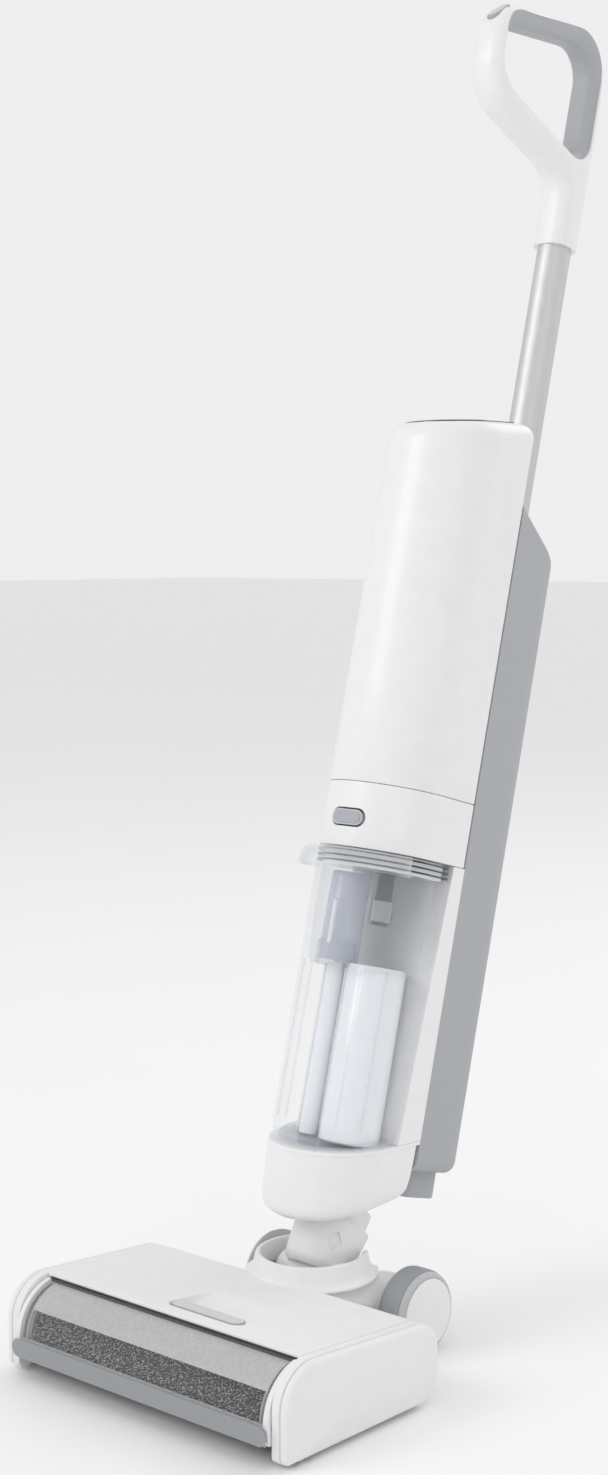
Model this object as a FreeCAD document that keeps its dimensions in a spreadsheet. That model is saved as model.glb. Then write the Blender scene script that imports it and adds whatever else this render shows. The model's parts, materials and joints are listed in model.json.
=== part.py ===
"""Wet dry floor scrubber, built as separate sub-parts in millimetres.

The row stands on the floor in its parked position: +Z is up, the roller points to -Y, the
handle leans to +Y, and the origin lies on the floor under the centre of the whole machine.
Three frames are used while the pieces are drawn:

- the head frame, on the floor under the front face of the cleaning head;
- the tower frame, whose Z axis runs up the middle of the leaning body (its "height") and
  whose Y axis points to the back of the body (its "depth");
- the neck frame, at the lean hinge, whose Z axis runs up the short inclined neck.
"""
import FreeCAD, Part
import math
import os
import re

import Sketcher

V = FreeCAD.Vector

# ---------------------------------------------------------------- driving dimensions
SIZES = {
    # cleaning head
    "head_width": 290.0,
    "head_depth": 166.5,
    "head_height": 71.8,
    "head_back_height": 61.0,
    "nose_round": 36.0,
    "heel_round": 31.0,
    "ground_gap": 3.0,
    "tray_height": 21.7,
    "side_frame": 14.5,
    "belt_cover": 2.5,
    "shell_wall": 2.5,
    "seam_gap": 0.3,
    "cover_edge": 30.6,
    # roller and its window
    "roller_radius": 30.0,
    "roller_depth": 36.0,
    "core_radius": 21.0,
    "core_wall": 2.5,
    "sleeve_length": 244.0,
    "window_radius": 39.0,
    "window_height": 28.0,
    "window_wall": 2.5,
    "window_sill": 29.0,
    "cover_lip": 12.0,
    "window_rim": 3.0,
    "bumper_height": 11.0,
    "bumper_middle": 22.1,
    "bumper_proud": 3.5,
    "spindle_radius": 4.0,
    "running_gap": 0.05,
    # brush drive
    "motor_depth": 96.0,
    "motor_height": 34.0,
    "brush_motor_radius": 20.0,
    "roller_pulley": 16.0,
    "motor_pulley": 8.0,
    "belt_thick": 1.5,
    "belt_wide": 6.0,
    # wheels
    "wheel_radius": 33.3,
    "wheel_depth": 230.0,
    "wheel_inner": 58.0,
    "tyre_width": 25.0,
    "rim_radius": 27.0,
    "guide_radius": 5.0,
    # neck
    "neck_depth": 190.0,
    "neck_height": 58.0,
    "neck_lean": 35.0,
    "neck_low_radius": 27.0,
    "neck_top_radius": 30.0,
    "neck_length": 44.0,
    "socket_low_radius": 48.5,
    "socket_top_radius": 43.5,
    "socket_bore": 39.5,
    "socket_floor": 63.6,
    "socket_top": 76.5,
    "bridge_half": 55.0,
    # tower
    "lean": 14.91,
    "tower_foot": 173.7,
    "tower_radius": 51.7,
    "tower_back": 42.0,
    "housing_back": 112.0,
    "housing_round": 30.0,
    "base_front": 97.0,
    "base_slope": 0.326,
    "deck_front": 155.2,
    "deck_slope": 0.211,
    "tank_back_low": 14.2,
    "tank_back_high": 27.2,
    "tank_wall": 2.2,
    "ring_low": 391.9,
    "ring_high": 443.5,
    "cap_level": 722.0,
    "cap_thick": 10.0,
    "housing_low": 150.0,
    "housing_high": 693.0,
    "housing_fall": 0.61,
    # water and power inside the tower
    "clean_low": 230.0,
    "clean_high": 540.0,
    "clean_half": 35.7,
    "clean_front": 62.0,
    "pipe_radius": 11.0,
    "button_long": 30.0,
    "button_high": 12.2,
    "button_level": 414.7,
    # handle
    "tube_radius": 14.5,
    "tube_wall": 1.2,
    "tube_depth": "=housing_back - tube_radius - 3.5",
    "tube_low": 560.0,
    "collar_low": 934.0,
    "grip_front": -42.0,
    "grip_top": 1107.0,
    "grip_chin": 1009.4,
    "chin_fall": 0.1975,
    "grip_half": 17.0,
    "grip_round": 28.0,
}
WORD = re.compile(r"\b(" + "|".join(sorted(SIZES, key=len, reverse=True)) + r")\b")

doc = FreeCAD.newDocument("FloorScrubber")
sheet = doc.addObject("Spreadsheet::Sheet", "Sizes")
for row, (alias, value) in enumerate(SIZES.items(), start=1):
    sheet.set(f"A{row}", alias)
    sheet.set(f"B{row}", str(value))
    sheet.setAlias(f"B{row}", alias)
doc.recompute()

NODES = []
HEAD = FreeCAD.Placement()
TOWER = FreeCAD.Placement(V(0, sheet.tower_foot, 0), FreeCAD.Rotation(V(1, 0, 0), -sheet.lean))
NECK = FreeCAD.Placement(V(0, sheet.neck_depth, sheet.neck_height),
                         FreeCAD.Rotation(V(1, 0, 0), -sheet.neck_lean))


# ---------------------------------------------------------------- drawing helpers
def formula(text):
    """Turn a size formula into an expression that reads the sheet."""
    return WORD.sub(r"Sizes.\1", str(text))


def number(text):
    """Value of a size formula, for the first guess of a sketch and for placements."""
    total = doc.getObject("Scratch")
    if total is None:
        total = doc.addObject("App::FeaturePython", "Scratch")
        total.addProperty("App::PropertyFloat", "Value")
    total.setExpression("Value", formula(text))
    total.recompute()
    return total.Value


def bind(thing, name, text):
    """Tie one property of an object to a size formula."""
    thing.setExpression(name, formula(text))


def new_body(label):
    """An empty body whose label is the name of its node."""
    body = doc.addObject("PartDesign::Body", label)
    body.Label = label
    return body


def new_sketch(body, role, level="0"):
    """A sketch on one of the body's own origin planes, moved out along its normal."""
    plane = next(item for item in body.Origin.OriginFeatures if item.Role == role)
    sketch = body.newObject("Sketcher::SketchObject", body.Name + "_sketch")
    sketch.AttachmentSupport = [(plane, "")]
    sketch.MapMode = "FlatFace"
    bind(sketch, "AttachmentOffset.Base.z", level)
    return sketch


def fix(sketch, kind, *where_and_size):
    """Add a dimension to a sketch and tie it to its size formula."""
    *where, text = where_and_size
    index = sketch.addConstraint(Sketcher.Constraint(kind, *where, number(text)))
    bind(sketch, f"Constraints[{index}]", text)


def fix_point(sketch, geometry, point, across, up):
    """Hold one point of a sketch at a place measured from the sketch's origin."""
    fix(sketch, "DistanceX", -1, 1, geometry, point, across)
    fix(sketch, "DistanceY", -1, 1, geometry, point, up)


def draw_polygon(sketch, corners):
    """A closed outline with straight sides; each corner is a pair of size formulas."""
    spots = [V(number(across), number(up), 0) for across, up in corners]
    first = sketch.GeometryCount
    count = len(corners)
    for index, spot in enumerate(spots):
        sketch.addGeometry(Part.LineSegment(spot, spots[(index + 1) % count]), False)
    for index in range(count):
        joined = first + (index + 1) % count
        sketch.addConstraint(Sketcher.Constraint("Coincident", first + index, 2, joined, 1))
    for index, (across, up) in enumerate(corners):
        fix_point(sketch, first + index, 1, across, up)


def draw_circle(sketch, across, up, radius):
    """A circle at a place given by size formulas."""
    centre = V(number(across), number(up), 0)
    index = sketch.addGeometry(Part.Circle(centre, V(0, 0, 1), number(radius)), False)
    fix(sketch, "Radius", index, radius)
    fix_point(sketch, index, 3, across, up)


def draw_horseshoe(sketch, radius, back):
    """The plan of the tower: half round at the front, straight sides, flat back."""
    reach, depth = number(radius), number(back)
    first = sketch.GeometryCount
    arc = Part.ArcOfCircle(Part.Circle(V(), V(0, 0, 1), reach), math.pi, 2 * math.pi)
    sketch.addGeometry(arc, False)
    sketch.addGeometry(Part.LineSegment(V(reach, 0, 0), V(reach, depth, 0)), False)
    sketch.addGeometry(Part.LineSegment(V(reach, depth, 0), V(-reach, depth, 0)), False)
    sketch.addGeometry(Part.LineSegment(V(-reach, depth, 0), V(-reach, 0, 0)), False)
    for index in range(4):
        joined = first + (index + 1) % 4
        sketch.addConstraint(Sketcher.Constraint("Coincident", first + index, 2, joined, 1))
    sketch.addConstraint(Sketcher.Constraint("Coincident", first, 3, -1, 1))
    fix_point(sketch, first + 1, 1, radius, "0")
    fix(sketch, "DistanceY", -1, 1, first + 3, 2, "0")
    fix_point(sketch, first + 1, 2, radius, back)
    fix_point(sketch, first + 2, 2, f"-({radius})", back)


def draw(sketch, outlines):
    """Draw every outline; each is a function followed by what it takes."""
    for outline in outlines:
        shape, *sizes = outline
        shape(sketch, *sizes)


def add(body, role, low, high, *outlines):
    """Pad outlines on one plane of a body from one level to a higher one."""
    sketch = new_sketch(body, role, low)
    draw(sketch, outlines)
    pad = body.newObject("PartDesign::Pad", body.Name + "_pad")
    pad.Profile = sketch
    bind(pad, "Length", f"({high}) - ({low})")
    doc.recompute()
    return pad


def carve(body, role, low, high, *outlines):
    """Pocket outlines out of a body between two levels, and see that material went."""
    before = body.Shape.Volume
    sketch = new_sketch(body, role, low)
    draw(sketch, outlines)
    pocket = body.newObject("PartDesign::Pocket", body.Name + "_pocket")
    pocket.Profile = sketch
    pocket.Reversed = True
    bind(pocket, "Length", f"({high}) - ({low})")
    doc.recompute()
    assert body.Shape.Volume < before - 0.01, f"{body.Label}: a pocket cut nothing"
    return pocket


def round_corners(body, feature, along, corners, radius):
    """Fillet the edges of a padded outline that stand at the given corners."""
    names = []
    for index, edge in enumerate(feature.Shape.Edges, start=1):
        if len(edge.Vertexes) != 2 or edge.Curve.TypeId != "Part::GeomLine":
            continue
        start, end = (vertex.Point for vertex in edge.Vertexes)
        if abs((end - start).normalize().dot(along)) < 0.999:
            continue
        spot = start - along * start.dot(along)
        if any((spot - corner).Length < 0.5 for corner in corners):
            names.append(f"Edge{index}")
    assert names, f"{body.Label}: no corner to round"
    fillet = body.newObject("PartDesign::Fillet", body.Name + "_round")
    fillet.Base = (feature, names)
    bind(fillet, "Radius", radius)
    doc.recompute()
    return fillet


def side_corner(depth, height):
    """A corner of an outline drawn on the side plane."""
    return V(0, number(depth), number(height))


def plan_corner(across, depth):
    """A corner of an outline drawn on the floor plane."""
    return V(number(across), number(depth), 0)


def combine(kind, label, first, second):
    """Two objects made one: a Cut, Fuse, Common or loose Compound."""
    result = doc.addObject(f"Part::{kind}", label)
    result.Label = label
    if kind == "Compound":
        result.Links = [first, second]
    else:
        result.Base, result.Tool = first, second
    doc.recompute()
    return result


def rod(label, radius, length, place):
    """A round bar along the Z axis of its placement."""
    bar = doc.addObject("Part::Cylinder", label)
    bar.Label = label
    bind(bar, "Radius", radius)
    bind(bar, "Height", length)
    bar.Placement = place
    doc.recompute()
    return bar


def keep(thing, frame):
    """Count an object as a node and move it from its drawing frame to its place."""
    thing.Placement = frame.multiply(thing.Placement)
    NODES.append(thing)
    return thing


def across_bar(label, low, high, *outlines):
    """A piece padded across the machine, from one side position to another."""
    body = new_body(label)
    add(body, "YZ_Plane", low, high, *outlines)
    return body


def upright_bar(label, low, high, *outlines):
    """A piece padded upwards between two levels."""
    body = new_body(label)
    add(body, "XY_Plane", low, high, *outlines)
    return body


def rectangle(low_across, low_up, high_across, high_up):
    """Corners of a rectangle from size formulas."""
    return [(low_across, low_up), (high_across, low_up), (high_across, high_up), (low_across, high_up)]


# ---------------------------------------------------------------- cleaning head
HALF = "head_width/2"
INSIDE = "(head_width/2 - side_frame - seam_gap)"


def head_outline(inset, front, floor):
    """Side outline of the head, moved in by a wall, from a front face and a floor."""
    return [(front, floor), (front, f"head_height - {inset} - 0.065*({front})"),
            (f"head_depth - {inset}", f"head_back_height - {inset}"),
            (f"head_depth - {inset}", f"20 + {inset}"), ("head_depth - 14.5", floor)]


def head_side(label, low, high):
    """A side panel with the whole outline of the head, its nose and heel rounded."""
    body = new_body(label)
    corners = head_outline("0", "0", "ground_gap")
    pad = add(body, "YZ_Plane", low, high, (draw_polygon, corners))
    nose = round_corners(body, pad, V(1, 0, 0), [side_corner(*corners[1])], "nose_round")
    round_corners(body, nose, V(1, 0, 0), [side_corner(*corners[2])], "heel_round")
    return body


def make_side_frames():
    """The two side frames that carry the roller, and the cover over the belt."""
    bearing = (draw_circle, "roller_depth", "roller_radius", "9")
    left = head_side("left_side_frame", f"-({HALF} - belt_cover)", f"-({INSIDE} + seam_gap)")
    carve(left, "YZ_Plane", f"-({HALF} - belt_cover) - 1", f"-({INSIDE} + seam_gap + 2.5)",
          (draw_polygon, rectangle("roller_depth - roller_pulley - 5", "roller_radius - roller_pulley - 3",
                                   "motor_depth + 16", "roller_radius + roller_pulley + 6")))
    carve(left, "YZ_Plane", f"-({HALF})", f"-({INSIDE} - 1)", bearing,
          (draw_circle, "motor_depth", "motor_height", "6"))
    cover = head_side("belt_side_cover", f"-({HALF})", f"-({HALF} - belt_cover)")
    right = head_side("right_side_frame", f"{INSIDE} + seam_gap", HALF)
    carve(right, "YZ_Plane", f"{INSIDE}", f"{HALF} - 4", bearing)
    for body, low, high in ((left, f"-({HALF} + 1)", f"-({INSIDE} - 1)"),
                            (cover, f"-({HALF} + 1)", f"-({HALF} - belt_cover - 1)"),
                            (right, f"{INSIDE} - 1", f"{HALF} - 4")):
        if body is not cover:
            carve(body, "YZ_Plane", low, high,
                  (draw_polygon, rectangle("12", "0", "28", "2*guide_radius + 2")))
        keep(body, HEAD)


def make_tray():
    """The floor tray behind the roller, with six screw holes."""
    tray = across_bar("floor_tray", f"-{INSIDE}", INSIDE, (draw_polygon, [
        ("68.5", "ground_gap"), ("head_depth - 14.5", "ground_gap"), ("head_depth", "20"),
        ("head_depth", "tray_height"), ("68.5", "tray_height")]))
    carve(tray, "YZ_Plane", f"-({INSIDE} - shell_wall)", f"{INSIDE} - shell_wall", (draw_polygon, [
        ("68.5 + shell_wall", "ground_gap + shell_wall"),
        ("head_depth - 15.5", "ground_gap + shell_wall"), ("head_depth - shell_wall", "20"),
        ("head_depth - shell_wall", "tray_height + 1"), ("68.5 + shell_wall", "tray_height + 1")]))
    spots = [(side * across, depth) for side in (-1, 1) for across, depth in
             ((118, 82), (118, 146), (60, 146))]
    carve(tray, "XY_Plane", "ground_gap - 1", "ground_gap + shell_wall + 1",
          *[(draw_circle, across, depth, "1.6") for across, depth in spots])
    keep(tray, HEAD)
    screws = new_body("tray_screws")
    add(screws, "XY_Plane", "ground_gap + shell_wall", "ground_gap + shell_wall + 2",
        *[(draw_circle, across, depth, "3") for across, depth in spots])
    keep(screws, HEAD)


def make_top_cover():
    """The top cover of the head, with the latch recess and the notch for the bridge."""
    cover = new_body("head_top_cover")
    outer = head_outline("0", "cover_edge", "tray_height + seam_gap")
    outer[3:] = [("head_depth", "tray_height + seam_gap")]
    pad = add(cover, "YZ_Plane", f"-{INSIDE}", INSIDE, (draw_polygon, outer))
    round_corners(cover, pad, V(1, 0, 0), [side_corner(*outer[2])], "heel_round")
    inner = [("cover_edge - 1", "tray_height"),
             ("cover_edge - 1", "head_height - shell_wall - 0.065*cover_edge"),
             ("head_depth - heel_round*0.8", "head_back_height - shell_wall"),
             ("head_depth - shell_wall", "head_back_height - heel_round*0.8"),
             ("head_depth - shell_wall", "tray_height")]
    carve(cover, "YZ_Plane", f"-({INSIDE} - shell_wall)", f"{INSIDE} - shell_wall",
          (draw_polygon, inner))
    front_bay = [("cover_edge - 1", "tray_height"), ("cover_edge - 1", "head_height - 12"),
                 ("68", "head_height - 12"), ("68", "tray_height")]
    carve(cover, "YZ_Plane", f"-({INSIDE} + 1)", f"{INSIDE} + 1", (draw_polygon, front_bay))
    carve(cover, "XY_Plane", "tray_height", "head_height + 5", (draw_polygon, rectangle(
        "-(bridge_half + seam_gap)", "138.2", "bridge_half + seam_gap", "head_depth + 1")))
    carve(cover, "XY_Plane", "head_height - 12", "head_height + 5",
          (draw_polygon, rectangle("-16", "44", "56", "65")))
    carve(cover, "YZ_Plane", f"-({INSIDE} + 1)", f"-({INSIDE} - 4)",
          (draw_circle, "motor_depth", "motor_height", "6"))
    keep(cover, HEAD)


def make_bridge():
    """The bridge behind the head that carries the neck socket and the wheel axle."""
    bridge = across_bar("bridge_body", "-bridge_half", "bridge_half", (draw_polygon, [
        ("138.5", "tray_height + seam_gap"), ("head_depth + seam_gap", "tray_height + seam_gap"),
        ("head_depth + seam_gap", "8"), ("wheel_depth + 16", "8"), ("wheel_depth + 20", "20"),
        ("wheel_depth + 20", "42"), ("wheel_depth + 8", "56"), ("wheel_depth - 8", "62"),
        ("138.5", "63.4")]))
    carve(bridge, "YZ_Plane", "-(bridge_half - 3)", "bridge_half - 3", (draw_polygon, [
        ("137", "tray_height"), ("head_depth + 3", "tray_height"), ("head_depth + 3", "10.5"),
        ("wheel_depth + 15", "10.5"), ("wheel_depth + 17", "20"), ("wheel_depth + 17", "41"),
        ("wheel_depth + 6", "53"), ("wheel_depth - 9", "59.4"), ("137", "60.4")]))
    carve(bridge, "XY_Plane", "40", "70", (draw_circle, "0", "neck_depth - 2", "socket_bore"))
    carve(bridge, "XY_Plane", "36", "70", (draw_polygon, rectangle(
        "-(neck_top_radius + 1.5)", "neck_depth", "neck_top_radius + 1.5", "wheel_depth + 21")))
    carve(bridge, "YZ_Plane", "-(bridge_half + 1)", "bridge_half + 1",
          (draw_circle, "wheel_depth", "wheel_radius", "spindle_radius + running_gap"))
    bracket = across_bar("hinge_bracket", "-35", "35", (draw_polygon, [
        ("neck_depth - 14", "9"), ("neck_depth + 14", "9"),
        ("neck_depth + 9", "neck_height + 9"), ("neck_depth - 9", "neck_height + 9")]))
    carve(bracket, "XY_Plane", "13.6", "neck_height + 10", (draw_polygon, rectangle(
        "-29", "neck_depth - 20", "29", "neck_depth + 20")))
    carve(bracket, "YZ_Plane", "-36", "36",
          (draw_circle, "neck_depth", "neck_height", "spindle_radius + running_gap"))
    keep(combine("Fuse", "rear_bridge", bridge, bracket), HEAD)
    keep(across_bar("hinge_pin", "-36.5", "36.5",
                    (draw_circle, "neck_depth", "neck_height", "spindle_radius")), HEAD)


def make_socket():
    """The cone-shaped collar round the neck, open to the rear for the lean."""
    cone = doc.addObject("Part::Cone", "socket_cone")
    bind(cone, "Radius1", "socket_low_radius")
    bind(cone, "Radius2", "socket_top_radius")
    bind(cone, "Height", "socket_top - socket_floor")
    cone.Placement.Base = V(0, number("neck_depth - 2"), number("socket_floor"))
    bore = new_body("socket_space")
    add(bore, "XY_Plane", "socket_floor - 1", "socket_top + 1",
        (draw_circle, "0", "neck_depth - 2", "socket_bore"))
    add(bore, "XY_Plane", "socket_floor - 1", "socket_top + 1", (draw_polygon, rectangle(
        "-(neck_top_radius + 1)", "neck_depth", "neck_top_radius + 1", "neck_depth + 60")))
    keep(combine("Cut", "neck_socket", cone, bore), HEAD)


def make_roller():
    """The microfibre roller on its core, with its end pieces and drive pulley."""
    axis = ("roller_depth", "roller_radius")
    half = "sleeve_length/2"
    keep(across_bar("roller_core", f"-({half} + 2)", f"{half} + 2",
                    (draw_circle, *axis, "core_radius"),
                    (draw_circle, *axis, "core_radius - core_wall")), HEAD)
    keep(across_bar("microfibre_sleeve", f"-({half})", half,
                    (draw_circle, *axis, "roller_radius"), (draw_circle, *axis, "core_radius")), HEAD)
    cap = new_body("roller_end_cap")
    add(cap, "YZ_Plane", f"{half} - 14", f"{half} + 2", (draw_circle, *axis, "core_radius - core_wall"))
    add(cap, "YZ_Plane", f"{half} + 2", f"{half} + 5", (draw_circle, *axis, "core_radius"))
    add(cap, "YZ_Plane", f"{half} + 5", f"{HALF} - 5", (draw_circle, *axis, "spindle_radius"))
    keep(cap, HEAD)
    drive = new_body("roller_drive_hub")
    add(drive, "YZ_Plane", f"-({half} + 2)", f"-({half} - 14)",
        (draw_circle, *axis, "core_radius - core_wall"))
    add(drive, "YZ_Plane", f"-({half} + 5)", f"-({half} + 2)", (draw_circle, *axis, "core_radius"))
    add(drive, "YZ_Plane", f"-({HALF} - 4)", f"-({half} + 5)", (draw_circle, *axis, "spindle_radius"))
    add(drive, "YZ_Plane", f"-({HALF} - 4)", f"-({HALF} - 4 - belt_wide)",
        (draw_circle, *axis, "roller_pulley"))
    keep(drive, HEAD)
    ring = ((draw_circle, *axis, "9"), (draw_circle, *axis, "spindle_radius + running_gap"))
    left = across_bar("left_bearing", f"-({INSIDE} + seam_gap + 2.5)", f"-{INSIDE}", *ring)
    right = across_bar("right_bearing", INSIDE, f"{HALF} - 5", *ring)
    keep(combine("Compound", "roller_bearings", left, right), HEAD)


def make_brush_drive():
    """The brush motor, its pulley and the belt round both pulleys."""
    place = ("motor_depth", "motor_height")
    keep(across_bar("brush_motor", "-105", "-25", (draw_circle, *place, "brush_motor_radius")), HEAD)
    pulley = new_body("motor_pulley")
    add(pulley, "YZ_Plane", f"-({HALF} - 4)", f"-({HALF} - 4 - belt_wide)",
        (draw_circle, *place, "motor_pulley"))
    add(pulley, "YZ_Plane", f"-({HALF} - 4 - belt_wide)", "-105.3", (draw_circle, *place, "2.5"))
    keep(pulley, HEAD)
    belt = Part.Face(belt_wire("belt_thick + 0.3")).cut(Part.Face(belt_wire("0.3")))
    band = doc.addObject("Part::Feature", "drive_belt")
    band.Label = "drive_belt"
    band.Shape = belt.extrude(V(number("belt_wide"), 0, 0))
    band.Placement.Base = V(-number(f"{HALF} - 4"), 0, 0)
    keep(band, HEAD)


def belt_wire(grow):
    """The closed path round the two pulleys, moved out by a distance."""
    big, small = number(f"roller_pulley + {grow}"), number(f"motor_pulley + {grow}")
    start = V(0, number("roller_depth"), number("roller_radius"))
    end = V(0, number("motor_depth"), number("motor_height"))
    along = end - start
    span = along.Length
    heading = math.atan2(along.z, along.y)
    spread = math.acos((big - small) / span)

    def rim(centre, radius, angle):
        return centre + V(0, radius * math.cos(angle), radius * math.sin(angle))

    upper, lower = heading + spread, heading - spread
    far = heading + math.pi
    return Part.Wire([
        Part.Arc(rim(start, big, upper), rim(start, big, far), rim(start, big, lower)).toShape(),
        Part.LineSegment(rim(start, big, lower), rim(end, small, lower)).toShape(),
        Part.Arc(rim(end, small, lower), rim(end, small, heading), rim(end, small, upper)).toShape(),
        Part.LineSegment(rim(end, small, upper), rim(start, big, upper)).toShape()])


def make_head_inside():
    """The squeegee, the spray bar and the dirty-water duct."""
    keep(across_bar("squeegee_blade", "-120", "120", (draw_polygon, rectangle(
        "66", "1", "68.2", "18"))), HEAD)
    keep(across_bar("spray_bar", "-115", "115", (draw_circle, "62", "head_height - 20", "3"),
                    (draw_circle, "62", "head_height - 20", "1.8")), HEAD)
    duct = across_bar("suction_duct", "-14", "14",
                      (draw_polygon, rectangle("72", "22", "160", "50")))
    carve(duct, "YZ_Plane", "-12", "12", (draw_polygon, rectangle("71", "24", "161", "48")))
    keep(duct, HEAD)


def make_roller_cover():
    """The lift-off cover over the roller: window, rim, bumper strip and seal."""
    ring = ((draw_circle, "roller_depth", "window_height", "window_radius"),
            (draw_circle, "roller_depth", "window_height", "window_radius - window_wall"))
    edge = f"({INSIDE} - seam_gap)"
    behind = [("cover_edge - 1", "-20"), ("90", "-20"), ("90", "80"), ("cover_edge - 1", "80")]
    window = across_bar("roller_window", f"-({edge} - window_rim)", f"{edge} - window_rim", *ring)
    carve(window, "YZ_Plane", f"-({edge} + 1)", f"{edge} + 1", (draw_polygon, behind))
    carve(window, "YZ_Plane", f"-({edge} + 1)", f"{edge} + 1", (draw_polygon, rectangle(
        "-10", "-20", "60", "window_sill")))
    keep(window, HEAD)
    rim = across_bar("cover_rim", f"-{edge}", edge, *ring)
    carve(rim, "YZ_Plane", f"-({edge} + 1)", f"{edge} + 1", (draw_polygon, behind))
    carve(rim, "YZ_Plane", f"-({edge} + 1)", f"{edge} + 1", (draw_polygon, rectangle(
        "-10", "-20", "60", "cover_lip")))
    carve(rim, "YZ_Plane", f"-({edge} - window_rim)", f"{edge} - window_rim", (draw_polygon, rectangle(
        "-10", "window_sill", "60", "80")))
    keep(rim, HEAD)
    strip = across_bar("bumper_strip", f"-{edge}", edge, (draw_polygon, rectangle(
        "roller_depth - window_radius - bumper_proud", "bumper_middle - bumper_height/2",
        "roller_depth - window_radius + 6", "bumper_middle + bumper_height/2")))
    carve(strip, "YZ_Plane", f"-({edge} + 1)", f"{edge} + 1",
          (draw_circle, "roller_depth", "window_height", "window_radius"))
    keep(strip, HEAD)
    keep(across_bar("cover_seal", f"-({edge} - window_rim)", f"{edge} - window_rim", (
        draw_polygon, rectangle("cover_edge - 0.9", "64", "cover_edge - seam_gap", "67.8"))), HEAD)


def make_latch():
    """The sliding latch of the roller cover."""
    latch = new_body("cover_latch")
    pad = add(latch, "XY_Plane", "head_height - 10", "head_height - 2.2",
              (draw_polygon, rectangle("-15", "45", "55", "59")))
    round_corners(latch, pad, V(0, 0, 1), [plan_corner(x, y) for x in ("-15", "55")
                                           for y in ("45", "59")], "6.9")
    keep(latch, HEAD)


def make_wheels():
    """The axle, the two rear wheels and the pair of small guide rollers."""
    place = ("wheel_depth", "wheel_radius")
    outer = "wheel_inner + tyre_width"
    keep(across_bar("wheel_axle", f"-({outer} + 1)", f"{outer} + 1",
                    (draw_circle, *place, "spindle_radius")), HEAD)
    for side, name in ((-1, "left"), (1, "right")):
        near, far = ("wheel_inner", outer) if side > 0 else (f"-({outer})", "-wheel_inner")
        tyre = across_bar(f"{name}_tyre", near, far, (draw_circle, *place, "wheel_radius"),
                          (draw_circle, *place, "rim_radius"))
        keep(tyre, HEAD)
        inner, outside = sorted((f"{side}*wheel_inner", f"{side}*({outer} + 2)"), key=number)
        hub = across_bar(f"{name}_hub", inner, outside, (draw_circle, *place, "rim_radius"))
        bore_low, bore_high = sorted((f"{side}*(wheel_inner - 1)", f"{side}*({outer} + 1.3)"), key=number)
        carve(hub, "YZ_Plane", bore_low, bore_high,
              (draw_circle, *place, "spindle_radius + running_gap"))
        keep(hub, HEAD)
    guides = [across_bar(f"guide_{name}", low, high, (draw_circle, "20", "guide_radius", "guide_radius"))
              for name, low, high in (("left", f"-({INSIDE} + 9)", f"-({INSIDE} + 2)"),
                                      ("right", f"{INSIDE} + 2", f"{INSIDE} + 9"))]
    keep(combine("Compound", "guide_rollers", *guides), HEAD)


# ---------------------------------------------------------------- neck
def make_neck():
    """The inclined neck that joins the head to the tower; dirty water rises through it."""
    cone = doc.addObject("Part::Cone", "neck_cone")
    bind(cone, "Radius1", "neck_low_radius")
    bind(cone, "Radius2", "neck_top_radius")
    bind(cone, "Height", "neck_length - 9")
    cone.Placement.Base = V(0, 0, 9)
    barrel = new_body("neck_barrel")
    add(barrel, "YZ_Plane", "-28.7", "28.7", (draw_circle, "0", "0", "13"))
    add(barrel, "XY_Plane", "neck_length - 1", "neck_length + 14",
        (draw_circle, "0", "0", "neck_low_radius - 1"))
    joined = combine("Fuse", "neck_block", cone, barrel)
    bore = new_body("neck_bore")
    add(bore, "YZ_Plane", "-40", "40", (draw_circle, "0", "0", "spindle_radius + running_gap"))
    add(bore, "XY_Plane", "14", "neck_length + 20", (draw_circle, "0", "0", "12.2"))
    keep(combine("Cut", "neck_yoke", joined, bore), NECK)


# ---------------------------------------------------------------- tower
def horseshoe_block(name, radius, back, side):
    """The tower plan cut to a side outline, as a solid to build shells from."""
    plan = upright_bar(name + "_plan", "60", "800", (draw_horseshoe, radius, back))
    profile = across_bar(name + "_side", "-90", "90", (draw_polygon, side))
    return combine("Common", name + "_block", plan, profile)


def slanted(front, slope, depth):
    """Height of a slanted line at a depth, from its height on the front face."""
    return f"({front}) + ({slope})*(({depth}) + tower_radius)"


def base_side(inset, top_lift):
    """Side outline of the base: a bottom and a deck that both rise to the back."""
    return [("-80", slanted(f"base_front + {inset}", "base_slope", "-80")),
            ("tower_back + 1", slanted(f"base_front + {inset}", "base_slope", "tower_back + 1")),
            ("tower_back + 1", slanted(f"deck_front + {top_lift}", "deck_slope", "tower_back + 1")),
            ("-80", slanted(f"deck_front + {top_lift}", "deck_slope", "-80"))]


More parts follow.
